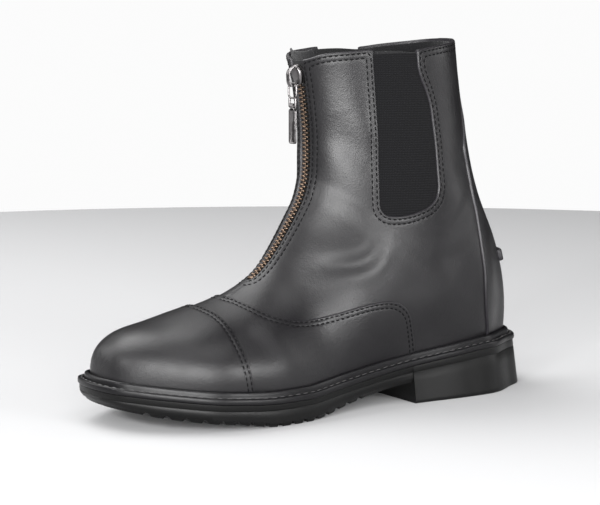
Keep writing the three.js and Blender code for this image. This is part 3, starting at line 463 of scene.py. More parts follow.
def sampled(grid, at):  # values between the points of a grid, at (row, column)
    r = np.clip(at[:, 0], 0, grid.shape[0] - 1.00001)
    c = np.clip(at[:, 1], 0, grid.shape[1] - 1.00001)
    i, j = r.astype(int), c.astype(int)
    u, v = r - i, c - j
    if grid.ndim == 3:
        u, v = u[:, None], v[:, None]
    return ((grid[i, j] * (1 - v) + grid[i, j + 1] * v) * (1 - u)
            + (grid[i + 1, j] * (1 - v) + grid[i + 1, j + 1] * v) * u)


def contours(field, level):  # closed loops round where a field is above a level, as (row, column)
    rows, columns = field.shape
    value = np.full((rows + 2, columns + 2), -1e-6)
    value[1:-1, 1:-1] = field - level
    value[value == 0] = 1e-9
    above = value > 0
    mixed = above[:-1, :-1].astype(int) + above[:-1, 1:] + above[1:, :-1] + above[1:, 1:]
    beside = {}

    def link(p, q):
        beside.setdefault(p, []).append(q)
        beside.setdefault(q, []).append(p)

    for i, j in zip(*np.nonzero((mixed > 0) & (mixed < 4))):
        i, j = int(i), int(j)
        top, right = ("h", i, j), ("v", i, j + 1)
        bottom, left = ("h", i + 1, j), ("v", i, j)
        a, b, c, d = above[i, j], above[i, j + 1], above[i + 1, j + 1], above[i + 1, j]
        cut = [k for k, crossed in ((top, a != b), (right, b != c), (bottom, c != d), (left, d != a))
               if crossed]
        if len(cut) == 2:
            link(*cut)
        elif (value[i:i + 2, j:j + 2].mean() > 0) == a:
            link(top, right)
            link(bottom, left)
        else:
            link(top, left)
            link(bottom, right)

    def placeOf(key):
        kind, i, j = key
        before, after = value[i, j], value[(i, i + 1)[kind == "v"], (j, j + 1)[kind == "h"]]
        t = before / (before - after)
        r, c = (i + t, j) if kind == "v" else (i, j + t)
        return min(max(r - 1, 0), rows - 1), min(max(c - 1, 0), columns - 1)

    loops, seen = [], set()
    for start in beside:
        if start in seen:
            continue
        loop, here = [], start
        while here not in seen:
            seen.add(here)
            loop.append(placeOf(here))
            here = next((k for k in beside[here] if k not in seen), here)
        if len(loop) > 2:
            loops.append(np.array(loop))
    return loops


def onSeam(half, at):  # on the front line, or on the back line where the sections close
    edge = half["points"].shape[1] - 1
    back = (at[:, 1] > edge - 1e-6) & (at[:, 0] >= firstShut)
    return (at[:, 1] < 1e-6) | back


def thinned(half, loop, spacing):  # a loop with fewer points, those on a seam all kept
    where = sampled(half["points"], loop)
    locked = onSeam(half, loop)
    kept = []
    for i in range(len(loop)):
        near = kept and np.linalg.norm(where[i] - where[kept[-1]]) < (0.02 if locked[i] else spacing)
        if near:
            continue
        if kept and locked[i] and not locked[kept[-1]] \
                and np.linalg.norm(where[i] - where[kept[-1]]) < 0.35 and len(kept) > 1:
            kept.pop()
        kept.append(i)
    while len(kept) > 3 and np.linalg.norm(where[kept[0]] - where[kept[-1]]) < 0.3 * spacing \
            and not locked[kept[-1]]:
        kept.pop()
    return loop[kept]


def triangled(half, boundary, rings, spots, field):
    loops = boundary + rings
    at = np.vstack([np.vstack(loops), spots]) if len(spots) else np.vstack(loops)
    edges, start = [], 0
    for number, loop in enumerate(loops):
        count = len(loop)
        closing = range(count) if number < len(boundary) else range(count - 1)
        edges += [(start + k, start + (k + 1) % count) for k in closing]
        start += count
    flat = sampled(half["flat"], at)
    found = delaunay_2d_cdt([Vector(p) for p in flat.tolist()], edges, [], 1, 1e-5)
    places, triangles, origin = found[0], found[2], found[3]
    new = np.zeros((len(places), 2))
    firstOf = {}
    for k, old in enumerate(origin):
        if old:
            new[k] = at[old[0]]
            for o in old:
                firstOf[o] = k
        else:
            near = int(np.argmin(((flat - np.array(places[k])) ** 2).sum(1)))
            new[k] = at[near]
            base = np.array([at[near], at[near] + (0.5, 0), at[near] + (0, 0.5)])
            base[:, 0] = np.clip(base[:, 0], 0, field.shape[0] - 1)
            base[:, 1] = np.clip(base[:, 1], 0, field.shape[1] - 1)
            spots3 = sampled(half["flat"], base)
            jacobian = np.stack([spots3[1] - spots3[0], spots3[2] - spots3[0]], axis=1) * 2
            if abs(np.linalg.det(jacobian)) > 1e-6:
                new[k] += np.clip(np.linalg.solve(jacobian, np.array(places[k]) - flat[near]), -2, 2)
    triangles = np.array([t for t in triangles if len(t) == 3])
    borders, start = [], 0
    for loop in boundary:
        borders.append([firstOf[start + k] for k in range(len(loop))])
        start += len(loop)
    return new, triangles, borders


def hashed(half, mask, size):  # grid points under a mask, one to each cell of the flat sheet
    chosen = np.argwhere(mask)
    if not len(chosen):
        return np.zeros((0, 2))
    flat = half["flat"][chosen[:, 0], chosen[:, 1]]
    row = np.floor(flat[:, 1] / (0.87 * size))
    shifted = flat[:, 0] / size + 0.5 * (row % 2)
    cell = np.stack([np.floor(shifted), row], axis=1)
    off = (shifted - cell[:, 0] - 0.5) ** 2 + (flat[:, 1] / (0.87 * size) - row - 0.5) ** 2
    order = np.argsort(off, kind="stable")
    _, first = np.unique(cell[order], axis=0, return_index=True)
    return chosen[order[first]].astype(float)


groove = {"depth": 0.14, "width": 0.6}  # the dent that a row of stitches pulls into the leather
# Distances from an edge where rings of points carry the rolled edge and the grooves.
ringLevels = (0.12, 0.32, 0.6, 0.95, 1.35, 1.75, 2.15, 2.7, 3.4, 3.9, 4.3, 4.7, 5.4)


def halfPanel(half, field, edge, look):  # one side's share of a panel, as plain lists
    boundary = [thinned(half, loop, look.get("step", 1.2)) for loop in contours(field, 0)]
    boundary = [loop for loop in boundary if len(loop) > 5]
    rings = []
    levels = ringLevels if look.get("styled", True) else ()
    for level in levels:
        for loop in contours(edge, level):
            loop = thinned(half, loop, 1.5)
            inside = (sampled(field, loop) > 0.3) & ~onSeam(half, loop)
            run = []
            for k, good in enumerate(inside):
                if good and (not run or k == run[-1] + 1):
                    run.append(k)
                else:
                    if len(run) > 2:
                        rings.append(loop[run])
                    run = [k] if good else []
            if len(run) > 2:
                rings.append(loop[run])
    reach = levels[-1] + 0.8 if levels else -np.inf
    grain = look.get("grain", 1.35)
    free = np.ones(field.shape, bool)
    free[:, 0] = free[:, -1] = False
    spots = hashed(half, (field > 0.55 * grain) & (edge > reach) & free, grain)
    at, triangles, borders = triangled(half, boundary, rings, spots, field)
    inward = hashed(half, (field > 2.4) & free, 5)
    atIn, trianglesIn, bordersIn = triangled(half, boundary, [], inward, field)

    distance = np.maximum(sampled(edge, at), 0)
    roll, sink = look["roll"], np.zeros(len(at))
    if roll:
        sink = roll * (np.sqrt(1 - (1 - np.minimum(distance / roll, 1)) ** 2) - 1)
    for level in look.get("rows", ()):
        sink -= groove["depth"] * np.exp(-((distance - level) / groove["width"]) ** 2)
    top = look["top"] + sink
    outer = sampled(half["points"], at) + sampled(half["normal"], at) * top[:, None]
    inner = sampled(half["points"], atIn) + sampled(half["normal"], atIn) * look["inner"]
    turn = 1 if half["side"] > 0 else -1
    faces = [tuple(t[::turn]) for t in triangles.tolist()]
    count = len(outer)
    faces += [tuple(count + k for k in t[::-turn]) for t in trianglesIn.tolist()]
    edgeColumn = half["points"].shape[1] - 1
    for out, within in zip(borders, bordersIn):
        for k in range(len(out)):
            a, b = out[k], out[(k + 1) % len(out)]
            c, d = within[k], within[(k + 1) % len(out)]
            frontBoth = look.get("front") and at[a][1] < 1e-6 and at[b][1] < 1e-6
            backBoth = look.get("back") and min(at[a][1], at[b][1]) > edgeColumn - 1e-6 \
                and min(at[a][0], at[b][0]) >= firstShut
            if frontBoth or backBoth:
                continue
            faces.append((a, b, count + d, count + c))
    flat = np.vstack([sampled(half["flat"], at), sampled(half["flat"], atIn)])
    edges = np.concatenate([distance, np.zeros(len(inner))])
    return np.vstack([outer, inner]), faces, flat, edges


def meshPiece(name, points, faces, flat=None, edges=None, weld=0):
    mesh = bpy.data.meshes.new(name)
    mesh.from_pydata((points / 1000 + frameShift).tolist(), [], faces)
    if edges is not None:
        mesh.attributes.new("edgeDistance", "FLOAT", "POINT").data.foreach_set("value", edges)
    if flat is not None:
        layer = mesh.uv_layers.new(name="flatSheet")
        corners = np.zeros(len(mesh.loops), int)
        mesh.loops.foreach_get("vertex_index", corners)
        layer.data.foreach_set("uv", (flat[corners] / 1000).ravel())
    piece = bpy.data.objects.new(name, mesh)
    bpy.context.scene.collection.objects.link(piece)
    work = bmesh.new()
    work.from_mesh(mesh)
    if weld:
        bmesh.ops.remove_doubles(work, verts=work.verts, dist=weld / 1000)
    bmesh.ops.dissolve_degenerate(work, edges=work.edges, dist=1e-7)
    bmesh.ops.recalc_face_normals(work, faces=work.faces)
    loose = [e for e in work.edges if not e.link_faces]
    bmesh.ops.delete(work, geom=loose, context="EDGES")
    work.to_mesh(mesh)
    work.free()
    smoothed(piece, 60)
    return piece


def smoothed(piece, sharpest):  # smooth but for edges sharper than this many degrees
    bpy.ops.object.select_all(action="DESELECT")
    piece.select_set(True)
    bpy.context.view_layer.objects.active = piece
    bpy.ops.object.shade_smooth_by_angle(angle=math.radians(sharpest))
    piece.select_set(False)


def panel(name, fieldOf, look, sides=(1, -1)):
    points, faces, flat, edges = [], [], [], []
    for side in sides:
        field, edge = fieldOf(halfOf[side])
        found = halfPanel(halfOf[side], field, edge, look)
        start = sum(len(p) for p in points)
        points.append(found[0])
        faces += [tuple(start + k for k in f) for f in found[1]]
        flat.append(found[2])
        edges.append(found[3])
    weld = 0.004 if look.get("front") or look.get("back") else 0
    piece = meshPiece(name, np.vstack(points), faces, np.vstack(flat), np.concatenate(edges), weld)
    print("stage:", name, len(piece.data.polygons), "faces")
    return piece


surfaceNormals = normalsOf(surface, shutRows)
surfaceNormals[0] = surfaceNormals[1]
firstShut = int(np.argmax(rowPlaces >= firstClosed))
halfOf = {side: oneSide(side) for side in (1, -1)}
lineNames = ("collar", "elasticTop", "gore", "vamp", "cap", "stay")
fields = {side: {name: lineField(halfOf[side], name) for name in lineNames} for side in (1, -1)}
for side in (1, -1):
    fields[side]["slot"] = slotField(halfOf[side])

# Panels of the upper. Heights are mm above the last's surface, rows are distances from the edge.
upperLook = {
    "quarter": {"top": 0, "inner": -2, "roll": 0.9, "rows": (1.8, 4.6), "front": True},
    "vamp": {"top": 0.9, "inner": -0.2, "roll": 0.9, "rows": (1.5, 3.9), "front": True},
    "cap": {"top": 2.1, "inner": 0.95, "roll": 1.1, "rows": (1.5, 3.9), "front": True},
    "stay": {"top": 1.3, "inner": -0.1, "roll": 0.9, "back": True},
    "elastic": {"top": -1.1, "inner": -2, "roll": 0.5},
    "lining": {"top": -2.3, "inner": -3.1, "roll": 0, "styled": False, "grain": 2.6, "step": 2.2,
               "front": True, "back": True},
    "tape": {"top": -2.1, "inner": -2.8, "roll": 0, "styled": False, "grain": 2, "front": True},
    "placket": {"top": -3.3, "inner": -4.6, "roll": 0.6, "grain": 2, "front": True},
    "spur": {"top": 3.9, "inner": 1.1, "roll": 1.3, "back": True, "grain": 1.1},
    "vampLap": 7, "capLap": 6, "elasticLap": 0.9, "tapeHalf": 10.6, "placketHalf": 14.5,
    "placketRise": 4, "spurHalf": 17, "spurLow": 0.262, "spurHigh": 0.3,
}


def quarterField(half):
    f = fields[half["side"]]
    edge = np.minimum(np.minimum(f["collar"], f["slot"] * 0.82), f["gore"])
    return np.minimum(edge, upperLook["vampLap"] - f["vamp"]), edge


def vampField(half):
    f = fields[half["side"]]
    return np.minimum(f["vamp"], upperLook["capLap"] - f["cap"]), f["vamp"]


def capField(half):
    return (fields[half["side"]]["cap"],) * 2


def stayField(half):
    f = fields[half["side"]]
    edge = np.minimum(f["stay"], f["collar"])
    return edge, edge


def elasticField(half):
    f = fields[half["side"]]
    return np.minimum(upperLook["elasticLap"] - f["gore"], f["elasticTop"]), f["elasticTop"]


def zipShare(half, width, rise, past):
    f = fields[half["side"]]
    reach = slot["end"] + past - half["down"]
    return np.minimum(np.minimum(width - half["arc"], f["collar"] + rise), reach)


def liningField(half):
    f = fields[half["side"]]
    clear = np.maximum(half["arc"] - upperLook["tapeHalf"] - 0.2, half["down"] - slot["end"] - 7.5)
    rise = np.arange(half["arc"].shape[0])[:, None] - 8.0  # the lining starts a few rows past the toe's pole
    return np.minimum(np.minimum(f["collar"] - 1.5, clear), rise), f["collar"]


def tapeField(half):
    return (zipShare(half, upperLook["tapeHalf"], -1, 7),) * 2


def placketField(half):
    return (zipShare(half, upperLook["placketHalf"], upperLook["placketRise"], 9),) * 2


def spurField(half):
    x, z = half["points"][:, :, 0], half["points"][:, :, 2]
    seat = float(featherHeight(lastHeel))
    low = z - seat - upperLook["spurLow"] * last["shaftHeight"]
    high = seat + upperLook["spurHigh"] * last["shaftHeight"] - z
    behind = half["points"][:, :, 1] - 60
    edge = np.minimum(np.minimum(low, high), upperLook["spurHalf"] - np.abs(x))
    return np.minimum(edge, behind), edge


quarters = panel("leather_quarters", quarterField, upperLook["quarter"])
vamp = panel("leather_vamp", vampField, upperLook["vamp"])
cap = panel("leather_toe_cap", capField, upperLook["cap"])
stay = panel("leather_back_stay", stayField, upperLook["stay"])
spur = panel("spur_rest_leather", spurField, upperLook["spur"])
elasticLateral = panel("elastic_lateral", elasticField, upperLook["elastic"], sides=(1,))
elasticMedial = panel("elastic_medial", elasticField, upperLook["elastic"], sides=(-1,))
lining = panel("lining_fleece", liningField, upperLook["lining"])
tape = panel("zip_tape_woven", tapeField, upperLook["tape"])
placket = panel("zip_placket_soft", placketField, upperLook["placket"])
for piece, nodes, slotName in (
        (quarters, ["upper"], "upper_leather"), (vamp, [], "upper_leather"),
        (cap, ["toe_cap"], "upper_leather"), (stay, ["back_stay"], "upper_leather"),
        (spur, ["spur_rest"], "upper_leather"), (elasticLateral, ["gore_lateral"], "gore_elastic"),
        (elasticMedial, ["gore_medial"], "gore_elastic"), (lining, [], "lining_leather"),
        (tape, ["zip_tape"], "zip_fabric"), (placket, ["zip_placket"], "lining_leather")):
    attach(piece, "boot")
    if nodes:
        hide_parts(*nodes)

# Thread: one stitch is modelled, then laid along the rows on the panels.
thread = {"length": 2.3, "width": 0.95, "height": 0.6, "pitch": 3.3, "sink": 0.04, "clear": 1.0}


def taken(piece):  # a made shape as points and faces, its object removed
    points = np.array([v.co for v in piece.data.vertices])
    faces = [tuple(p.vertices) for p in piece.data.polygons]
    bpy.data.objects.remove(piece)
    return points, faces


def stitchShape(length, width, height):
    bpy.ops.mesh.primitive_uv_sphere_add(segments=6, ring_count=5, radius=0.5)
    shape = bpy.context.object
    bpy.ops.object.mode_set(mode="EDIT")
    bpy.ops.mesh.select_all(action="SELECT")
    bpy.ops.transform.rotate(value=math.pi / 2, orient_axis="Y", center_override=(0, 0, 0))
    bpy.ops.transform.resize(value=(length, width, height), center_override=(0, 0, 0))
    bpy.ops.object.mode_set(mode="OBJECT")
    return taken(shape)


def laid(name, shape, places, body):  # copies of a shape at (place, along, out), one mesh
    points, faces = shape
    allPoints, allFaces = [], []
    for number, (place, along, out) in enumerate(places):
        along = along / np.linalg.norm(along)
        across = np.cross(out, along)
        across /= np.linalg.norm(across)
        out = np.cross(along, across)
        allPoints.append(place + points @ np.array([along, across, out]))
        start = number * len(points)
        allFaces += [tuple(start + k for k in f) for f in faces]
    piece = meshPiece(name, np.vstack(allPoints), allFaces)
    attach(piece, body)
    print("stage:", name, len(places), "copies")
    return piece


def stitchPlaces(fieldOf, level, top):  # where stitches lie along a row, level mm from an edge
    pitch, found = thread["pitch"], []
    for side in (1, -1):
        half = halfOf[side]
        field, edge = fieldOf(half)
        for loop in contours(edge, level):
            where = sampled(half["points"], loop) + sampled(half["normal"], loop) * top
            out = sampled(half["normal"], loop)
            inside = (sampled(field, loop) > thread["clear"]) & ~onSeam(half, loop) \
                & (loop[:, 0] < last["rows"] + 6) & (loop[:, 1] > 0.5)
            if inside.all():
                runs = [np.arange(len(loop))]
            else:
                start = int(np.argmin(inside))
                order = np.roll(np.arange(len(loop)), -start)
                cuts = np.nonzero(np.diff(inside[order].astype(int)))[0] + 1
                runs = [r for r in np.split(order, cuts) if inside[r[0]] and len(r) > 4]
            for run in runs:
                line, normals = where[run], out[run]
                line = blurred(line, 2) if len(line) > 14 else line
                reach = reachOf(line)
                count = int(reach[-1] / pitch)
                if count < 1:
                    continue
                rest = (reach[-1] - (count - 1) * pitch) / 2

                def at(s, values=line, reach=reach):
                    return np.stack([np.interp(s, reach, values[:, k]) for k in range(3)], axis=1)

                spots = rest + pitch * np.arange(count)
                middle, ahead, behind = at(spots), at(spots + 0.6), at(spots - 0.6)
                outs = np.stack([np.interp(spots, reach, normals[:, k]) for k in range(3)], axis=1)
                found += [(m, a - b, o) for m, a, b, o in zip(middle, ahead, behind, outs)]
    return found


stitch = stitchShape(thread["length"], thread["width"], thread["height"])
upperRows = []
for fieldOf, key in ((quarterField, "quarter"), (vampField, "vamp"), (capField, "cap")):
    for level in upperLook[key]["rows"]:
        upperRows += stitchPlaces(fieldOf, level, upperLook[key]["top"] - thread["sink"])
stitching = laid("stitching_black", stitch, upperRows, "boot")

# Welt: a moulded ring with a rounded lip, a groove with thread whose pale patches are partly grey and partly
# painted glints, and a bead against the upper.
weltLook = {
    "profile": [(0.9, 0), (0.25, 0.12), (0, 0.6), (-0.02, 1.5), (0.02, 2.4), (0.2, 3.05), (0.6, 3.5),
                (1.2, 3.62), (1.8, 3.5), (2.25, 3.05), (2.6, 2.55), (3, 2.4), (3.35, 2.6), (3.6, 3.3),
                (3.7, 4.3), (3.8, 5.3), (4.05, 6.15), (4.5, 6.68), (5.05, 6.8), (5.7, 6.5),
                (6.4, 5.4), (7.2, 3.2), (7.2, 0)],
    "stations": 900, "threadInset": 2.2, "threadRise": 3.35, "threadPitch": 5.4, "threadLength": 3.9,
}


def ringLevel(inset, rise, count):
    line = ring(inset, count)
    z = featherHeight(line[:, 1]) + rise
    return np.column_stack([line, z])


levels = [ringLevel(inset, rise, weltLook["stations"]) for inset, rise in weltLook["profile"]]
count, rows = weltLook["stations"], len(levels)
faces = [(k * count + i, k * count + (i + 1) % count, (k + 1) % rows * count + (i + 1) % count,
          (k + 1) % rows * count + i) for k in range(rows) for i in range(count)]
welt = meshPiece("welt_moulded", np.vstack(levels), faces)
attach(welt, "boot")
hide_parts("welt")

weltThread = stitchShape(weltLook["threadLength"], 0.75, 0.7)
line = ringLevel(weltLook["threadInset"], weltLook["threadRise"], 1200)
total = np.linalg.norm(np.roll(line, -1, axis=0) - line, axis=1).sum()
number = int(total / weltLook["threadPitch"])
spots = spaced(line, number, closed=True)
following = np.roll(spots, -1, axis=0) - np.roll(spots, 1, axis=0)
weltRows = [(p, a, np.array([0, 0, 1.0])) for p, a in zip(spots, following)]
weltStitching = laid("stitching_welt", weltThread, weltRows, "boot")

# Sole unit: forepart, waist and heel moulded in one, the wall and the tread on shared stations.
soleLook = {
    "side": 0.9, "flare": 2.6, "line": 3.3, "lineDepth": 0.4, "tread": 2.3, "treadStep": 0.9,
    "lugDepth": 2.7, "lugPitch": 9, "lugWidth": 4, "lugFirst": 0.47, "lugLast": 0.95,
    "stations": 460, "edge": 0.7,
}
half = last["soleLength"] / 2
share = (1 - np.cos(np.linspace(0, np.pi, soleLook["stations"]))) / 2
stationsY = list((share - 0.5) * (last["soleLength"] - 2 * soleLook["side"]))
lugs = np.arange(half - soleLook["lugFirst"] * last["soleLength"],
                 half - soleLook["lugLast"] * last["soleLength"], -soleLook["lugPitch"])
for y in lugs:
    stationsY += [y - soleLook["lugWidth"] / 2, y, y + soleLook["lugWidth"] / 2]
stationsY = np.array(sorted(stationsY))
keep = np.concatenate([[True], np.diff(stationsY) > 0.02])
stationsY = stationsY[keep]
stationsY = stationsY[np.abs(stationsY - heelFront) > 0.6]
stationsY = np.sort(np.concatenate([stationsY, [heelFront - 0.03, heelFront + 0.03]]))
atHeel = stationsY > heelFront
notch = np.zeros(len(stationsY))
for y in lugs:
    notch = np.maximum(notch, 1 - np.abs(stationsY - y) / (soleLook["lugWidth"] / 2))


def foreInset(depth):
    return lambda y: soleLook["side"] + depth * sole["tuck"](alongOf(y)) * last["weltWidth"]


top, under = outsoleTop(stationsY), outsoleUnder(stationsY)
thick = top - under
cut = notch * soleLook["lugDepth"]
lineIn = soleLook["lineDepth"]
foreLevels = [  # inset, and height at each station
    (foreInset(0), top), (foreInset(0), top - soleLook["line"] + 0.5),
    (lambda y: foreInset(0)(y) + lineIn, top - soleLook["line"]),
    (foreInset(0.02), top - soleLook["line"] - 0.5), (foreInset(0.22), under + 0.42 * thick),
    (foreInset(0.5), under + soleLook["tread"] + 0.2),
    (lambda y: foreInset(0.55)(y) + soleLook["treadStep"] * smoothstep(-y, -30, 10),
     under + soleLook["tread"] - 0.1),
    (lambda y: foreInset(0.8)(y) + soleLook["treadStep"], under + cut + 0.5 * (1 - notch)),
    (lambda y: foreInset(1)(y) + soleLook["treadStep"], under + cut),
]
wall = [1, 0.86, 0.845, 0.83, 0.6, 0.3, 0.1, 0.03, 0]
heelLevels = []
for number, part in enumerate(wall):
    inset = soleLook["side"] - (soleLook["side"] + soleLook["flare"]) * (1 - part)
    inset += 0.25 if number == 2 else 0
    inset += soleLook["edge"] if number == len(wall) - 1 else 0
    heelLevels.append((inset, top * part))
points = []
for (inset, z), (heelInset, heelZ) in zip(foreLevels, heelLevels):
    for chosen, zHere, mask in ((inset, z, ~atHeel), (heelInset, heelZ, atHeel)):
        pair = halvesOf(ring(chosen, 1800))
        base = stationsY[mask]
        low, high = pair[1][0, 1], pair[1][-1, 1]
        edge = half - soleLook["side"]
        y = np.where(base < 0, base * abs(low) / edge, base * abs(high) / edge)
        y = np.where(np.abs(base - heelFront) < 1, base, y)
        for side in (1, -1):
            x = np.interp(y, pair[side][:, 1], pair[side][:, 0])
            points.append((side, mask, np.column_stack([x, y, zHere[mask]])))
levelPoints = []
for number in range(len(foreLevels)):
    group = points[4 * number:4 * number + 4]
    loop = {1: np.zeros((len(stationsY), 3)), -1: np.zeros((len(stationsY), 3))}
    for side, mask, values in group:
        loop[side][mask] = values
    levelPoints.append(np.vstack([loop[1], loop[-1][::-1]]))
count, rows, stationCount = 2 * len(stationsY), len(levelPoints), len(stationsY)
faces = [(k * count + i, k * count + (i + 1) % count, (k + 1) * count + (i + 1) % count,
          (k + 1) * count + i) for k in range(rows - 1) for i in range(count)]
for base in (0, (rows - 1) * count):
    faces += [(base + i, base + i + 1, base + count - 2 - i, base + count - 1 - i)
              for i in range(stationCount - 1)]
soleUnit = meshPiece("sole_unit_moulded", np.vstack(levelPoints), faces, weld=0.003)
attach(soleUnit, "boot")
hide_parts("outsole", "heel_block")
print("stage: welt and sole")

# Zip: teeth, slider and pull on the front line.
zipLook = {
    "sliderDrop": 14.5, "sliderLength": 12, "sliderWidth": 9, "toothPitch": 1.2,
    "bottomStop": 2.6, "depth": -1.05, "bailLength": 11.8, "bailRise": 6.2,
    "sliderThickness": 3.4, "leather": 2, "ringPlace": -0.325, "ringSeat": 0.5,
    "ringWidth": 9.2, "ringLength": 9.6, "wire": 1.2, "hingeDrop": 13, "armEnd": 0.7,
    "tabWidth": 6.5, "tabLength": 20, "tabThickness": 1.3, "knuckle": 1.5, "armWidth": 1.2,
}


def frontPlace(distance):
    return np.array([np.interp(distance, frontReach, frontLine[:, k]) for k in range(3)])


def frontFrame(distance):  # across, up along the line, outwards, and the place
    up = frontPlace(distance - 1.5) - frontPlace(distance + 1.5)
    up[0] = 0
    up /= np.linalg.norm(up)
    across = np.array([1.0, 0, 0])
    return np.array([across, up, np.cross(across, up)]), frontPlace(distance)


# Centre seam: below the zip the two quarters meet in a shallow valley down to the vamp.
seamTop, seamDepth, moved = frontPlace(slot["end"] + 1.5)[2], 0.4, 0
for vertex in quarters.data.vertices:
    x, y, z = (np.array(vertex.co) - frameShift) * 1000
    if abs(x) < 0.3 and z < seamTop and vertex.normal.y < -0.2:
        vertex.co -= vertex.normal * (seamDepth / 1000)
        moved += 1
print("stage: centre seam", moved)


def editedCube(size, bevel, segments=2):  # a block with rounded edges, its size in mm
    bpy.ops.mesh.primitive_cube_add(size=1)
    block = bpy.context.object
    bpy.ops.object.mode_set(mode="EDIT")
    bpy.ops.mesh.select_all(action="SELECT")
    bpy.ops.transform.resize(value=size, center_override=(0, 0, 0))
    bpy.ops.mesh.bevel(offset=bevel, segments=segments, affect="EDGES")
    bpy.ops.object.mode_set(mode="OBJECT")
    return block


def joinedShapes(shapes):
    points, faces = [], []
    for p, f in shapes:
        start = sum(len(q) for q in points)
        points.append(p)
        faces += [tuple(start + k for k in face) for face in f]
    return np.vstack(points), faces


def tubeAlong(path, radius, sides=10, closed=False, flat=None):  # a wire along a path of points
    path = np.array(path, float)
    count = len(path)
    ahead = np.roll(path, -1, axis=0) - np.roll(path, 1, axis=0)
    if not closed:
        ahead[0], ahead[-1] = path[1] - path[0], path[-1] - path[-2]
    ahead /= np.linalg.norm(ahead, axis=1)[:, None]
    points = []
    for i in range(count):
        first = np.cross(ahead[i], flat if flat is not None else (0, 1, 0))
        first /= np.linalg.norm(first)
        second = np.cross(ahead[i], first)
        wide, thick = radius if isinstance(radius, tuple) else (radius, radius)
        for a in np.linspace(0, 2 * np.pi, sides, endpoint=False):
            square = 1 if wide == thick else (abs(np.cos(a)) ** 4 + abs(np.sin(a)) ** 4) ** -0.25
            points.append(path[i] + square * (second * wide * np.cos(a) + first * thick * np.sin(a)))
    rings = count if closed else count - 1
    faces = [(i * sides + j, i * sides + (j + 1) % sides, (i + 1) % count * sides + (j + 1) % sides,
              (i + 1) % count * sides + j) for i in range(rings) for j in range(sides)]
    if not closed:
        faces += [tuple(range(sides)), tuple((count - 1) * sides + j for j in range(sides))]
    return np.array(points), faces


# One tooth: a bar gripping the tape with a rounded head that meets the other side.
bar, head = taken(editedCube((2.5, 0.95, 1.75), 0.2)), taken(editedCube((1.5, 1.15, 1.2), 0.3))
tooth = joinedShapes([(bar[0] + (1.75, 0, 0), bar[1]), (head[0] + (0.35, 0, 0.1), head[1])])
start = zipLook["sliderDrop"] + zipLook["sliderLength"] / 2 + 0.3
teethPlaces = []
for number, distance in enumerate(np.arange(start, slot["end"] - zipLook["bottomStop"],
                                            zipLook["toothPitch"])):
    axes, place = frontFrame(distance)
    side = 1 if number % 2 else -1
    teethPlaces.append((place + axes[2] * zipLook["depth"], side * axes[0], axes[2]))
teeth = laid("zip_teeth_cast", tooth, teethPlaces, "boot")
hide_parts("zip_teeth")
block = taken(editedCube((5.4, 1.7, 2), 0.35))
axes, place = frontFrame(slot["end"] - zipLook["bottomStop"] + 0.9)
stop = meshPiece("zip_stop_cast", place + (block[0] + (0, 0, zipLook["depth"])) @ axes, block[1])
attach(stop, "boot")

# Slider: a shield with a crown, side flanges and a long bail; its frame leans with the front line.
sliderAxes, sliderPlace = frontFrame(zipLook["sliderDrop"])
bpy.ops.mesh.primitive_circle_add(vertices=48, radius=1, fill_type="NGON")
shield = bpy.context.object
halfWidth, halfLength = zipLook["sliderWidth"] / 2, zipLook["sliderLength"] / 2
for vertex in shield.data.vertices:
    x, y = vertex.co.x, vertex.co.y
    squared = (abs(x) ** 3.2 + abs(y) ** 3.2) ** (-1 / 3.2)
    x, y = x * squared, y * squared
    vertex.co.x = (x * halfWidth * (0.8 + 0.2 * smoothstep(y, -0.9, 0.3))
                   * (1 - 0.45 * smoothstep(y, 0.55, 1.05)))
    vertex.co.y = y * halfLength
bpy.ops.object.mode_set(mode="EDIT")
bpy.ops.mesh.select_all(action="SELECT")
bpy.ops.mesh.extrude_region_move(TRANSFORM_OT_translate={"value": (0, 0, 1.15)})
bpy.ops.mesh.inset(thickness=0.55, depth=0.35)
bpy.ops.mesh.inset(thickness=0.5, depth=0.12)
bpy.ops.object.mode_set(mode="OBJECT")
shieldShape = taken(shield)
plates = [(shieldShape[0] + (0, 0, 0.05), shieldShape[1]),
          (shieldShape[0] * (1, 1, 0.7) + (0, 0, -1.85), shieldShape[1])]
post = taken(editedCube((1.8, 3.2, 2.2), 0.25))
plates.append((post[0] + (0, 4, -0.7), post[1]))
rise, long = zipLook["bailRise"], zipLook["bailLength"]
arch = curved([(0, -long / 2 + 0.7, 1.1), (0, -long / 2 + 0.6, 0.45 * rise),
               (0, -0.42 * long, 0.8 * rise), (0, -0.28 * long, 0.93 * rise), (0, 0, 0.88 * rise), (0, 0.22 * long, 0.78 * rise),
               (0, 0.36 * long, 0.55 * rise), (0, 0.43 * long, 1.1)], 6)
plates.append(tubeAlong(arch + (0, 0, zipLook["sliderThickness"] - 2.3), (1.75, 0.6), 12,
                        flat=(1, 0, 0)))
sliderShape = joinedShapes(plates)
slider = meshPiece("zip_slider_cast", sliderPlace + sliderShape[0] @ sliderAxes, sliderShape[1])
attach(slider, "boot")
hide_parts("zip_slider")

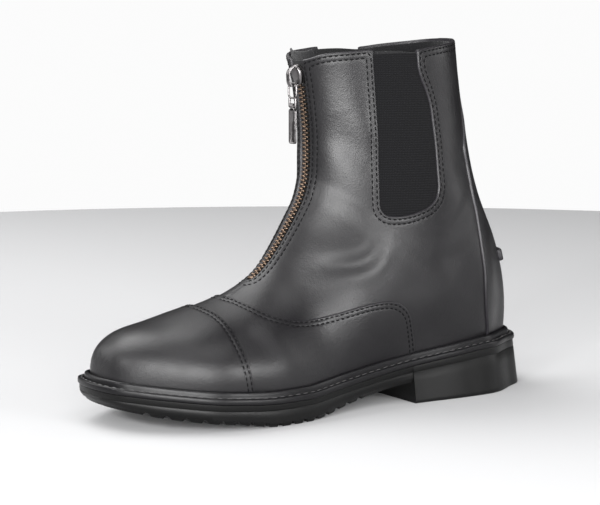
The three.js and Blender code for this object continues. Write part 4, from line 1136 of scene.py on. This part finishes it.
# Ring with its two arms and pin, then the tab with its raised border and knuckle.
ringRise = zipLook["sliderThickness"] - zipLook["leather"] + zipLook["ringSeat"] * rise
pivot = sliderPlace + sliderAxes[1] * zipLook["ringPlace"] * long + sliderAxes[2] * ringRise
across = (zipLook["ringWidth"] - zipLook["wire"]) / 2
drop = zipLook["ringLength"] - zipLook["wire"]
turn = 2.4
corners = [(across, 0, 0), (across, 0, -drop), (-across, 0, -drop), (-across, 0, 0)]
loop = []
for number, corner in enumerate(corners):
    corner = np.array(corner, float)
    before, after = (np.array(corners[(number + k) % 4], float) - corner for k in (-1, 1))
    a, b = corner + before / np.linalg.norm(before) * turn, corner + after / np.linalg.norm(after) * turn
    loop += [(1 - t) ** 2 * a + 2 * t * (1 - t) * corner + t * t * b for t in np.linspace(0, 1, 9)]
shapes = [tubeAlong(loop, zipLook["wire"] / 2, 12, closed=True)]
armX = (zipLook["tabWidth"] - 0.3) / 2
armLow = -zipLook["hingeDrop"] - zipLook["armEnd"]
for side in (-1, 1):
    arm = taken(editedCube((zipLook["armWidth"], zipLook["armWidth"], -drop - armLow), 0.28, 3))
    shapes.append((arm[0] + (side * armX, 0, (armLow - drop) / 2), arm[1]))
shapes.append(tubeAlong([(x, 0, -zipLook["hingeDrop"]) for x in (-armX, 0, armX)], 0.5, 12,
                        flat=(0, 0, 1)))
ringShape = joinedShapes(shapes)
pullRing = meshPiece("zip_ring_wire", pivot + ringShape[0], ringShape[1])
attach(pullRing, "pull_ring")
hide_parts("zip_ring")

bpy.ops.mesh.primitive_cube_add(size=1)
blade = bpy.context.object
bpy.ops.object.mode_set(mode="EDIT")
bpy.ops.mesh.select_all(action="SELECT")
bpy.ops.transform.resize(value=(zipLook["tabWidth"], zipLook["tabThickness"], zipLook["tabLength"]),
                         center_override=(0, 0, 0))
work = bmesh.from_edit_mesh(blade.data)
for edge in work.edges:
    edge.select_set(abs(edge.verts[0].co.x - edge.verts[1].co.x) < 1e-6
                    and abs(edge.verts[0].co.z - edge.verts[1].co.z) < 1e-6)
bmesh.update_edit_mesh(blade.data)
bpy.ops.mesh.bevel(offset=1.3, segments=4, affect="EDGES")
work = bmesh.from_edit_mesh(blade.data)
for face in work.faces:
    face.select_set(abs(face.normal.y) > 0.9)
bmesh.update_edit_mesh(blade.data)
bpy.ops.mesh.inset(thickness=0.14, depth=0)
bpy.ops.mesh.inset(thickness=0.75, depth=0)
bpy.ops.mesh.inset(thickness=0.14, depth=-0.22)
bpy.ops.object.mode_set(mode="OBJECT")
bladeShape = taken(blade)
top = -zipLook["knuckle"] - 0.3
tabShapes = [(bladeShape[0] + (0, 0, top - zipLook["tabLength"] / 2), bladeShape[1])]
barrelHalf = zipLook["tabWidth"] / 2 - zipLook["armWidth"] - 0.3
barrelXs = (-barrelHalf, -barrelHalf + 0.2, 0, barrelHalf - 0.2, barrelHalf)
tabShapes.append(tubeAlong([(x, 0, 0) for x in barrelXs], zipLook["knuckle"], 20, flat=(0, 0, 1)))
neck = taken(editedCube((2 * barrelHalf, zipLook["tabThickness"], 2 * zipLook["knuckle"]), 0.15))
tabShapes.append((neck[0] + (0, 0, -zipLook["knuckle"]), neck[1]))
tabShape = joinedShapes(tabShapes)
pullTab = meshPiece("zip_tab_struck", pivot + (0, 0, -zipLook["hingeDrop"]) + tabShape[0], tabShape[1])
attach(pullTab, "pull_tab")
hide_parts("zip_tab")
print("stage: zip")


def linear(code):  # an sRGB hex colour as linear light
    parts = [int(code[i:i + 2], 16) / 255 for i in (1, 3, 5)]
    return [p / 12.92 if p <= 0.04045 else ((p + 0.055) / 1.055) ** 2.4 for p in parts] + [1]


def addNode(tree, kind, values=None, links=None):  # a node with its settings and what feeds it
    made = tree.nodes.new("ShaderNode" + kind)
    for key, value in (values or {}).items():
        if isinstance(key, str) and hasattr(made, key):
            setattr(made, key, value)
        else:
            made.inputs[key].default_value = value
    for key, source in (links or {}).items():
        tree.links.new(source, made.inputs[key])
    return made


socketNames = {"IOR": "IOR", "SpecularIORLevel": "Specular IOR Level"}


def material(name, **sockets):  # a principled material; colours as hex, names as on the shader
    made = bpy.data.materials.new(name)
    made.use_nodes = True
    shader = made.node_tree.nodes["Principled BSDF"]
    for key, value in sockets.items():
        label = socketNames.get(key) or "".join(" " + c if c.isupper() and i else c
                                                for i, c in enumerate(key))
        shader.inputs[label].default_value = linear(value) if isinstance(value, str) else value
    return made, made.node_tree, shader


def perMillimetre(size):  # a texture scale whose cells measure about this many mm
    return 1000 / size


def bandsPer(size):  # the same for a wave texture, whose bands are 20 to a turn
    return perMillimetre(size) * 2 * math.pi / 20


# Full-grain cowhide, drum dyed and waxed: near-black with a shine that comes and goes in broad
# clouds; rolled cut edges are painted paler, partly as wear and partly as a painted highlight.
# The pores are drawn at 0.9 mm, coarser than real.
hide = {"deep": "#060507", "worn": "#0D0C0E", "edge": "#2E2C30", "pore": 0.9, "wrinkle": 2.6,
        "cloud": 38, "poreDepth": 0.07, "wrinkleDepth": 0.16, "shine": 0.36, "dull": 0.5}
leather, tree, shader = material("cowhide_waxed_black", Roughness=0.32, IOR=1.5, CoatWeight=0.04,
                                 CoatRoughness=0.28, SpecularIORLevel=0.34)
coords = addNode(tree, "TexCoord")
cloud = addNode(tree, "TexNoise", {"Scale": perMillimetre(hide["cloud"]), "Detail": 3},
                {"Vector": coords.outputs["Object"]})
pore = addNode(tree, "TexVoronoi", {"Scale": perMillimetre(hide["pore"]), "Randomness": 0.9},
               {"Vector": coords.outputs["Object"]})
wrinkle = addNode(tree, "TexNoise", {"Scale": perMillimetre(hide["wrinkle"]), "Detail": 4,
                                     "Roughness": 0.62, "Distortion": 0.6},
                  {"Vector": coords.outputs["Object"]})
tint = addNode(tree, "Mix", {"data_type": "RGBA", 6: linear(hide["deep"]), 7: linear(hide["worn"])},
               {0: cloud.outputs["Fac"]})
# Rolled cut edges are painted paler: partly wear, partly a painted highlight where the roll catches light.
edge = addNode(tree, "Attribute", {"attribute_name": "edgeDistance"})
rim = addNode(tree, "MapRange", {"From Min": 0.12, "From Max": 0.75, "To Min": 0.75, "To Max": 0},
              {"Value": edge.outputs["Fac"]})
scuffAndSheen = addNode(tree, "Math", {"operation": "MULTIPLY"},
                  {0: rim.outputs["Result"], 1: wrinkle.outputs["Fac"]})
color = addNode(tree, "Mix", {"data_type": "RGBA", 7: linear(hide["edge"])},
                {0: scuffAndSheen.outputs[0], 6: tint.outputs[2]})
tree.links.new(color.outputs[2], shader.inputs["Base Color"])
gloss = addNode(tree, "MapRange", {"From Min": 0.35, "From Max": 0.65, "To Min": hide["shine"],
                                   "To Max": hide["dull"]}, {"Value": cloud.outputs["Fac"]})
tree.links.new(gloss.outputs["Result"], shader.inputs["Roughness"])
low = addNode(tree, "Bump", {"Strength": 0.7, "Distance": hide["wrinkleDepth"] / 1000},
              {"Height": wrinkle.outputs["Fac"]})
fine = addNode(tree, "Bump", {"Strength": 0.6, "Distance": hide["poreDepth"] / 1000},
               {"Height": pore.outputs["Distance"], "Normal": low.outputs["Normal"]})
tree.links.new(fine.outputs["Normal"], shader.inputs["Normal"])

# Woven elastic: matt black, ribbed across at about 1.5 mm with finer warp threads between.
webbing = {"base": "#060607", "thread": "#101012", "rib": 1.5, "warp": 1.1, "depth": 0.12}
elastic, tree, shader = material("elastic_webbing_woven", Roughness=0.9, IOR=1.5, SheenWeight=0.015,
                                 SheenRoughness=0.5, SpecularIORLevel=0.12)
sheet = addNode(tree, "UVMap", {"uv_map": "flatSheet"})
ribs = addNode(tree, "TexWave", {"wave_type": "BANDS", "bands_direction": "Y", "Distortion": 0.4,
                                 "Detail": 1, "Scale": bandsPer(webbing["rib"])},
               {"Vector": sheet.outputs["UV"]})
warp = addNode(tree, "TexWave", {"wave_type": "BANDS", "bands_direction": "X", "Distortion": 0.3,
                                 "Detail": 1, "Scale": bandsPer(webbing["warp"])},
               {"Vector": sheet.outputs["UV"]})
woven = addNode(tree, "Math", {"operation": "MULTIPLY"},
                {0: ribs.outputs["Fac"], 1: warp.outputs["Fac"]})
color = addNode(tree, "Mix", {"data_type": "RGBA", 6: linear(webbing["base"]),
                              7: linear(webbing["thread"])}, {0: woven.outputs[0]})
tree.links.new(color.outputs[2], shader.inputs["Base Color"])
both = addNode(tree, "Math", {"operation": "ADD"}, {0: ribs.outputs["Fac"], 1: woven.outputs[0]})
bump = addNode(tree, "Bump", {"Strength": 0.8, "Distance": webbing["depth"] / 1000},
               {"Height": both.outputs[0]})
tree.links.new(bump.outputs["Normal"], shader.inputs["Normal"])


def grained(name, base, light, size, depth, **sockets):  # one noise for the colour and the bump
    made, tree, shader = material(name, **sockets)
    coords = addNode(tree, "TexCoord")
    noise = addNode(tree, "TexNoise", {"Scale": perMillimetre(size), "Detail": 5, "Roughness": 0.65},
                    {"Vector": coords.outputs["Object"]})
    color = addNode(tree, "Mix", {"data_type": "RGBA", 6: linear(base), 7: linear(light)},
                    {0: noise.outputs["Fac"]})
    tree.links.new(color.outputs[2], shader.inputs["Base Color"])
    bump = addNode(tree, "Bump", {"Strength": 0.8, "Distance": depth / 1000},
                   {"Height": noise.outputs["Fac"]})
    tree.links.new(bump.outputs["Normal"], shader.inputs["Normal"])
    rough = shader.inputs["Roughness"].default_value
    spread = addNode(tree, "MapRange", {"From Min": 0.3, "From Max": 0.7, "To Min": rough * 0.85,
                                        "To Max": min(1, rough * 1.15)}, {"Value": noise.outputs["Fac"]})
    tree.links.new(spread.outputs["Result"], shader.inputs["Roughness"])
    return made


# Brushed fleece: deep black pile that catches light only at its fibre tips.
fleece = grained("polyester_fleece_brushed", "#040405", "#0C0C0E", 1.6, 0.9, Roughness=0.95, IOR=1.5,
                 SheenWeight=0.08, SheenRoughness=0.6, SpecularIORLevel=0.2)
# Zip tape: woven polyester, matt, its tight weave drawn as a grain that is coarser than real.
twill = grained("polyester_tape_twill", "#060607", "#0E0E10", 0.7, 0.15, Roughness=0.88, IOR=1.5,
                SheenWeight=0.05, SpecularIORLevel=0.25)
# Waxed polyester thread: dull black, so the rows read as dark dashes on the shining leather.
threadBlack = grained("polyester_thread_waxed_black", "#030304", "#070708", 0.5, 0.08,
                      Roughness=0.75, IOR=1.5, SpecularIORLevel=0.1)
# Welt thread: near-black with pale patches from a 7 mm noise, partly the thread's grey and partly painted
# glints.
threadGreyAndGlints = grained("polyester_thread_grey_and_painted_glints", "#0A0A0B", "#6A6969", 7, 0.08, Roughness=0.7, IOR=1.5)
# Injection-moulded rubber: satin black with a fine spark-eroded grain.
rubber = grained("thermoplastic_rubber_moulded", "#050505", "#0A0A0A", 1.1, 0.06, Roughness=0.42,
                 IOR=1.5, SpecularIORLevel=0.17)
# The welt is the same rubber from a polished part of the mould, with a brighter skin.
rubberBright = grained("thermoplastic_rubber_polished", "#060607", "#0C0B0D", 1.6, 0.05, Roughness=0.38,
                       IOR=1.5, CoatWeight=0.04, CoatRoughness=0.3, SpecularIORLevel=0.2)
# Pressed cellulose board under a textile sock: flat black and slightly felted.
board = grained("insole_board_felted", "#060607", "#101012", 0.9, 0.2, Roughness=0.92, IOR=1.5)
# Antique brass: copper-brown with dark oxide in the gaps and worn bright tips.
brass = grained("brass_cast_antiqued", "#2B231D", "#8C7766", 1.3, 0.05, Metallic=1, Roughness=0.38)
# Zinc alloy, nickel plated and tumbled: satin grey with soft reflections.
nickel = grained("zinc_alloy_nickel_tumbled", "#4C4A4B", "#858282", 2.2, 0.02, Metallic=1, Roughness=0.33)

for made, pieces in (
        (leather, (quarters, vamp, cap, stay, spur)), (elastic, (elasticLateral, elasticMedial)),
        (fleece, (lining, placket)), (twill, (tape,)), (threadBlack, (stitching,)),
        (threadGreyAndGlints, (weltStitching,)), (rubber, (soleUnit,)), (rubberBright, (welt,)),
        (brass, (teeth, stop)), (nickel, (slider, pullRing, pullTab))):
    for piece in pieces:
        piece.data.materials.clear()
        piece.data.materials.append(made)
insole = bpy.data.objects["insole"]
for kept in insole.material_slots:
    kept.link = "OBJECT"
    kept.material = board
print("stage: materials")

# Camera: the photograph's angle to the shoe, close enough to frame the one shoe.
view = {"azimuth": 57.05, "elevation": 7.5, "distance": 1208.2, "height": 90, "lens": 124,
        "shiftX": -0.02, "shiftY": -0.004}
camera = bpy.data.cameras.new("photo_camera")
camera.lens, camera.sensor_width = view["lens"], 36
camera.shift_x, camera.shift_y = view["shiftX"], view["shiftY"]
camera.clip_start, camera.clip_end = 0.05, 20
cameraObject = bpy.data.objects.new("photo_camera", camera)
bpy.context.scene.collection.objects.link(cameraObject)
azimuth, elevation = math.radians(view["azimuth"]), math.radians(view["elevation"])
back = Vector((math.sin(azimuth) * math.cos(elevation), -math.cos(azimuth) * math.cos(elevation),
               math.sin(elevation)))
right = Vector((math.cos(azimuth), math.sin(azimuth), 0))
aim = Vector((0, 0, view["height"] / 1000)) + Vector(frameShift)
turned = Matrix((right, back.cross(right), back)).transposed().to_4x4()
cameraObject.matrix_world = Matrix.Translation(aim + back * view["distance"] / 1000) @ turned
bpy.context.scene.camera = cameraObject

# Studio: pale floor and white surroundings, which the camera sees bright and the leather
# mirrors dim, with soft lights where the leather mirrors the bright bands of the photograph.
studio = {"floorColor": "#A2A2A3", "floorRadius": 1.05, "world": 0.36, "seen": 0.97, "mirrored": 0.06}
lights = [  # name, watts, width and height, place and target, in metres
    ("key_softbox", 88, (1.3, 1.1), (1.26, -0.985, 0.2), (0, 0, 0.15)),
    ("side_softbox", 17, (0.5, 0.5), (1.4, 0.39, 0.36), (0, 0, 0.12)),
    ("far_softbox", 7, (0.8, 0.8), (-1.15, -0.85, 0.65), (0, -0.1, 0.05)),
    ("top_softbox", 32, (1.4, 1.1), (-0.72, -0.42, 1.45), (0, -0.08, 0.05)),
    ("over_softbox", 9, (1, 0.9), (0.66, -0.12, 1.45), (0, -0.05, 0.08)),
    ("spark_lamp_left", 8, (0.12, 0.12), (0.01, -1.48, 0.7), (0, -0.12, 0.04)),
    ("spark_lamp_right", 8, (0.12, 0.12), (0.8, -1.23, 0.67), (0, -0.12, 0.04)),
    ("rim_softbox", 8, (0.5, 1.2), (0.7, 1.6, 0.6), (0, 0, 0.1)),
]
bpy.context.scene.view_settings.view_transform = "Standard"
bpy.ops.mesh.primitive_circle_add(vertices=128, radius=studio["floorRadius"], fill_type="NGON")
floor = bpy.context.object
floor.name = "studio_floor"
bpy.ops.object.select_all(action="DESELECT")
paint, _, _ = material("studio_floor_painted_matt", BaseColor=studio["floorColor"], Roughness=0.9)
floor.data.materials.append(paint)
world = bpy.data.worlds.new("white_surroundings")
bpy.context.scene.world = world
world.use_nodes = True
sky = world.node_tree.nodes["Background"]
sky.inputs["Color"].default_value = (1, 1, 1, 1)
sky.inputs["Strength"].default_value = studio["world"]
seen = addNode(world.node_tree, "LightPath")
dim = addNode(world.node_tree, "Background", {"Color": (1, 1, 1, 1), "Strength": studio["mirrored"]})
pale = addNode(world.node_tree, "Background", {"Color": (1, 1, 1, 1), "Strength": studio["seen"]})
around = addNode(world.node_tree, "MixShader", {}, {0: seen.outputs["Is Glossy Ray"],
                 1: sky.outputs[0], 2: dim.outputs[0]})
mixed = addNode(world.node_tree, "MixShader", {}, {0: seen.outputs["Is Camera Ray"],
                1: around.outputs[0], 2: pale.outputs[0]})
world.node_tree.links.new(mixed.outputs[0], world.node_tree.nodes["World Output"].inputs["Surface"])

for name, power, size, place, target in lights:
    light = bpy.data.lights.new(name, "AREA")
    light.energy, light.shape, light.size, light.size_y = power, "RECTANGLE", size[0], size[1]
    lamp = bpy.data.objects.new(name, light)
    bpy.context.scene.collection.objects.link(lamp)
    lamp.location = place
    lamp.rotation_euler = (Vector(target) - Vector(place)).to_track_quat("-Z", "Y").to_euler()
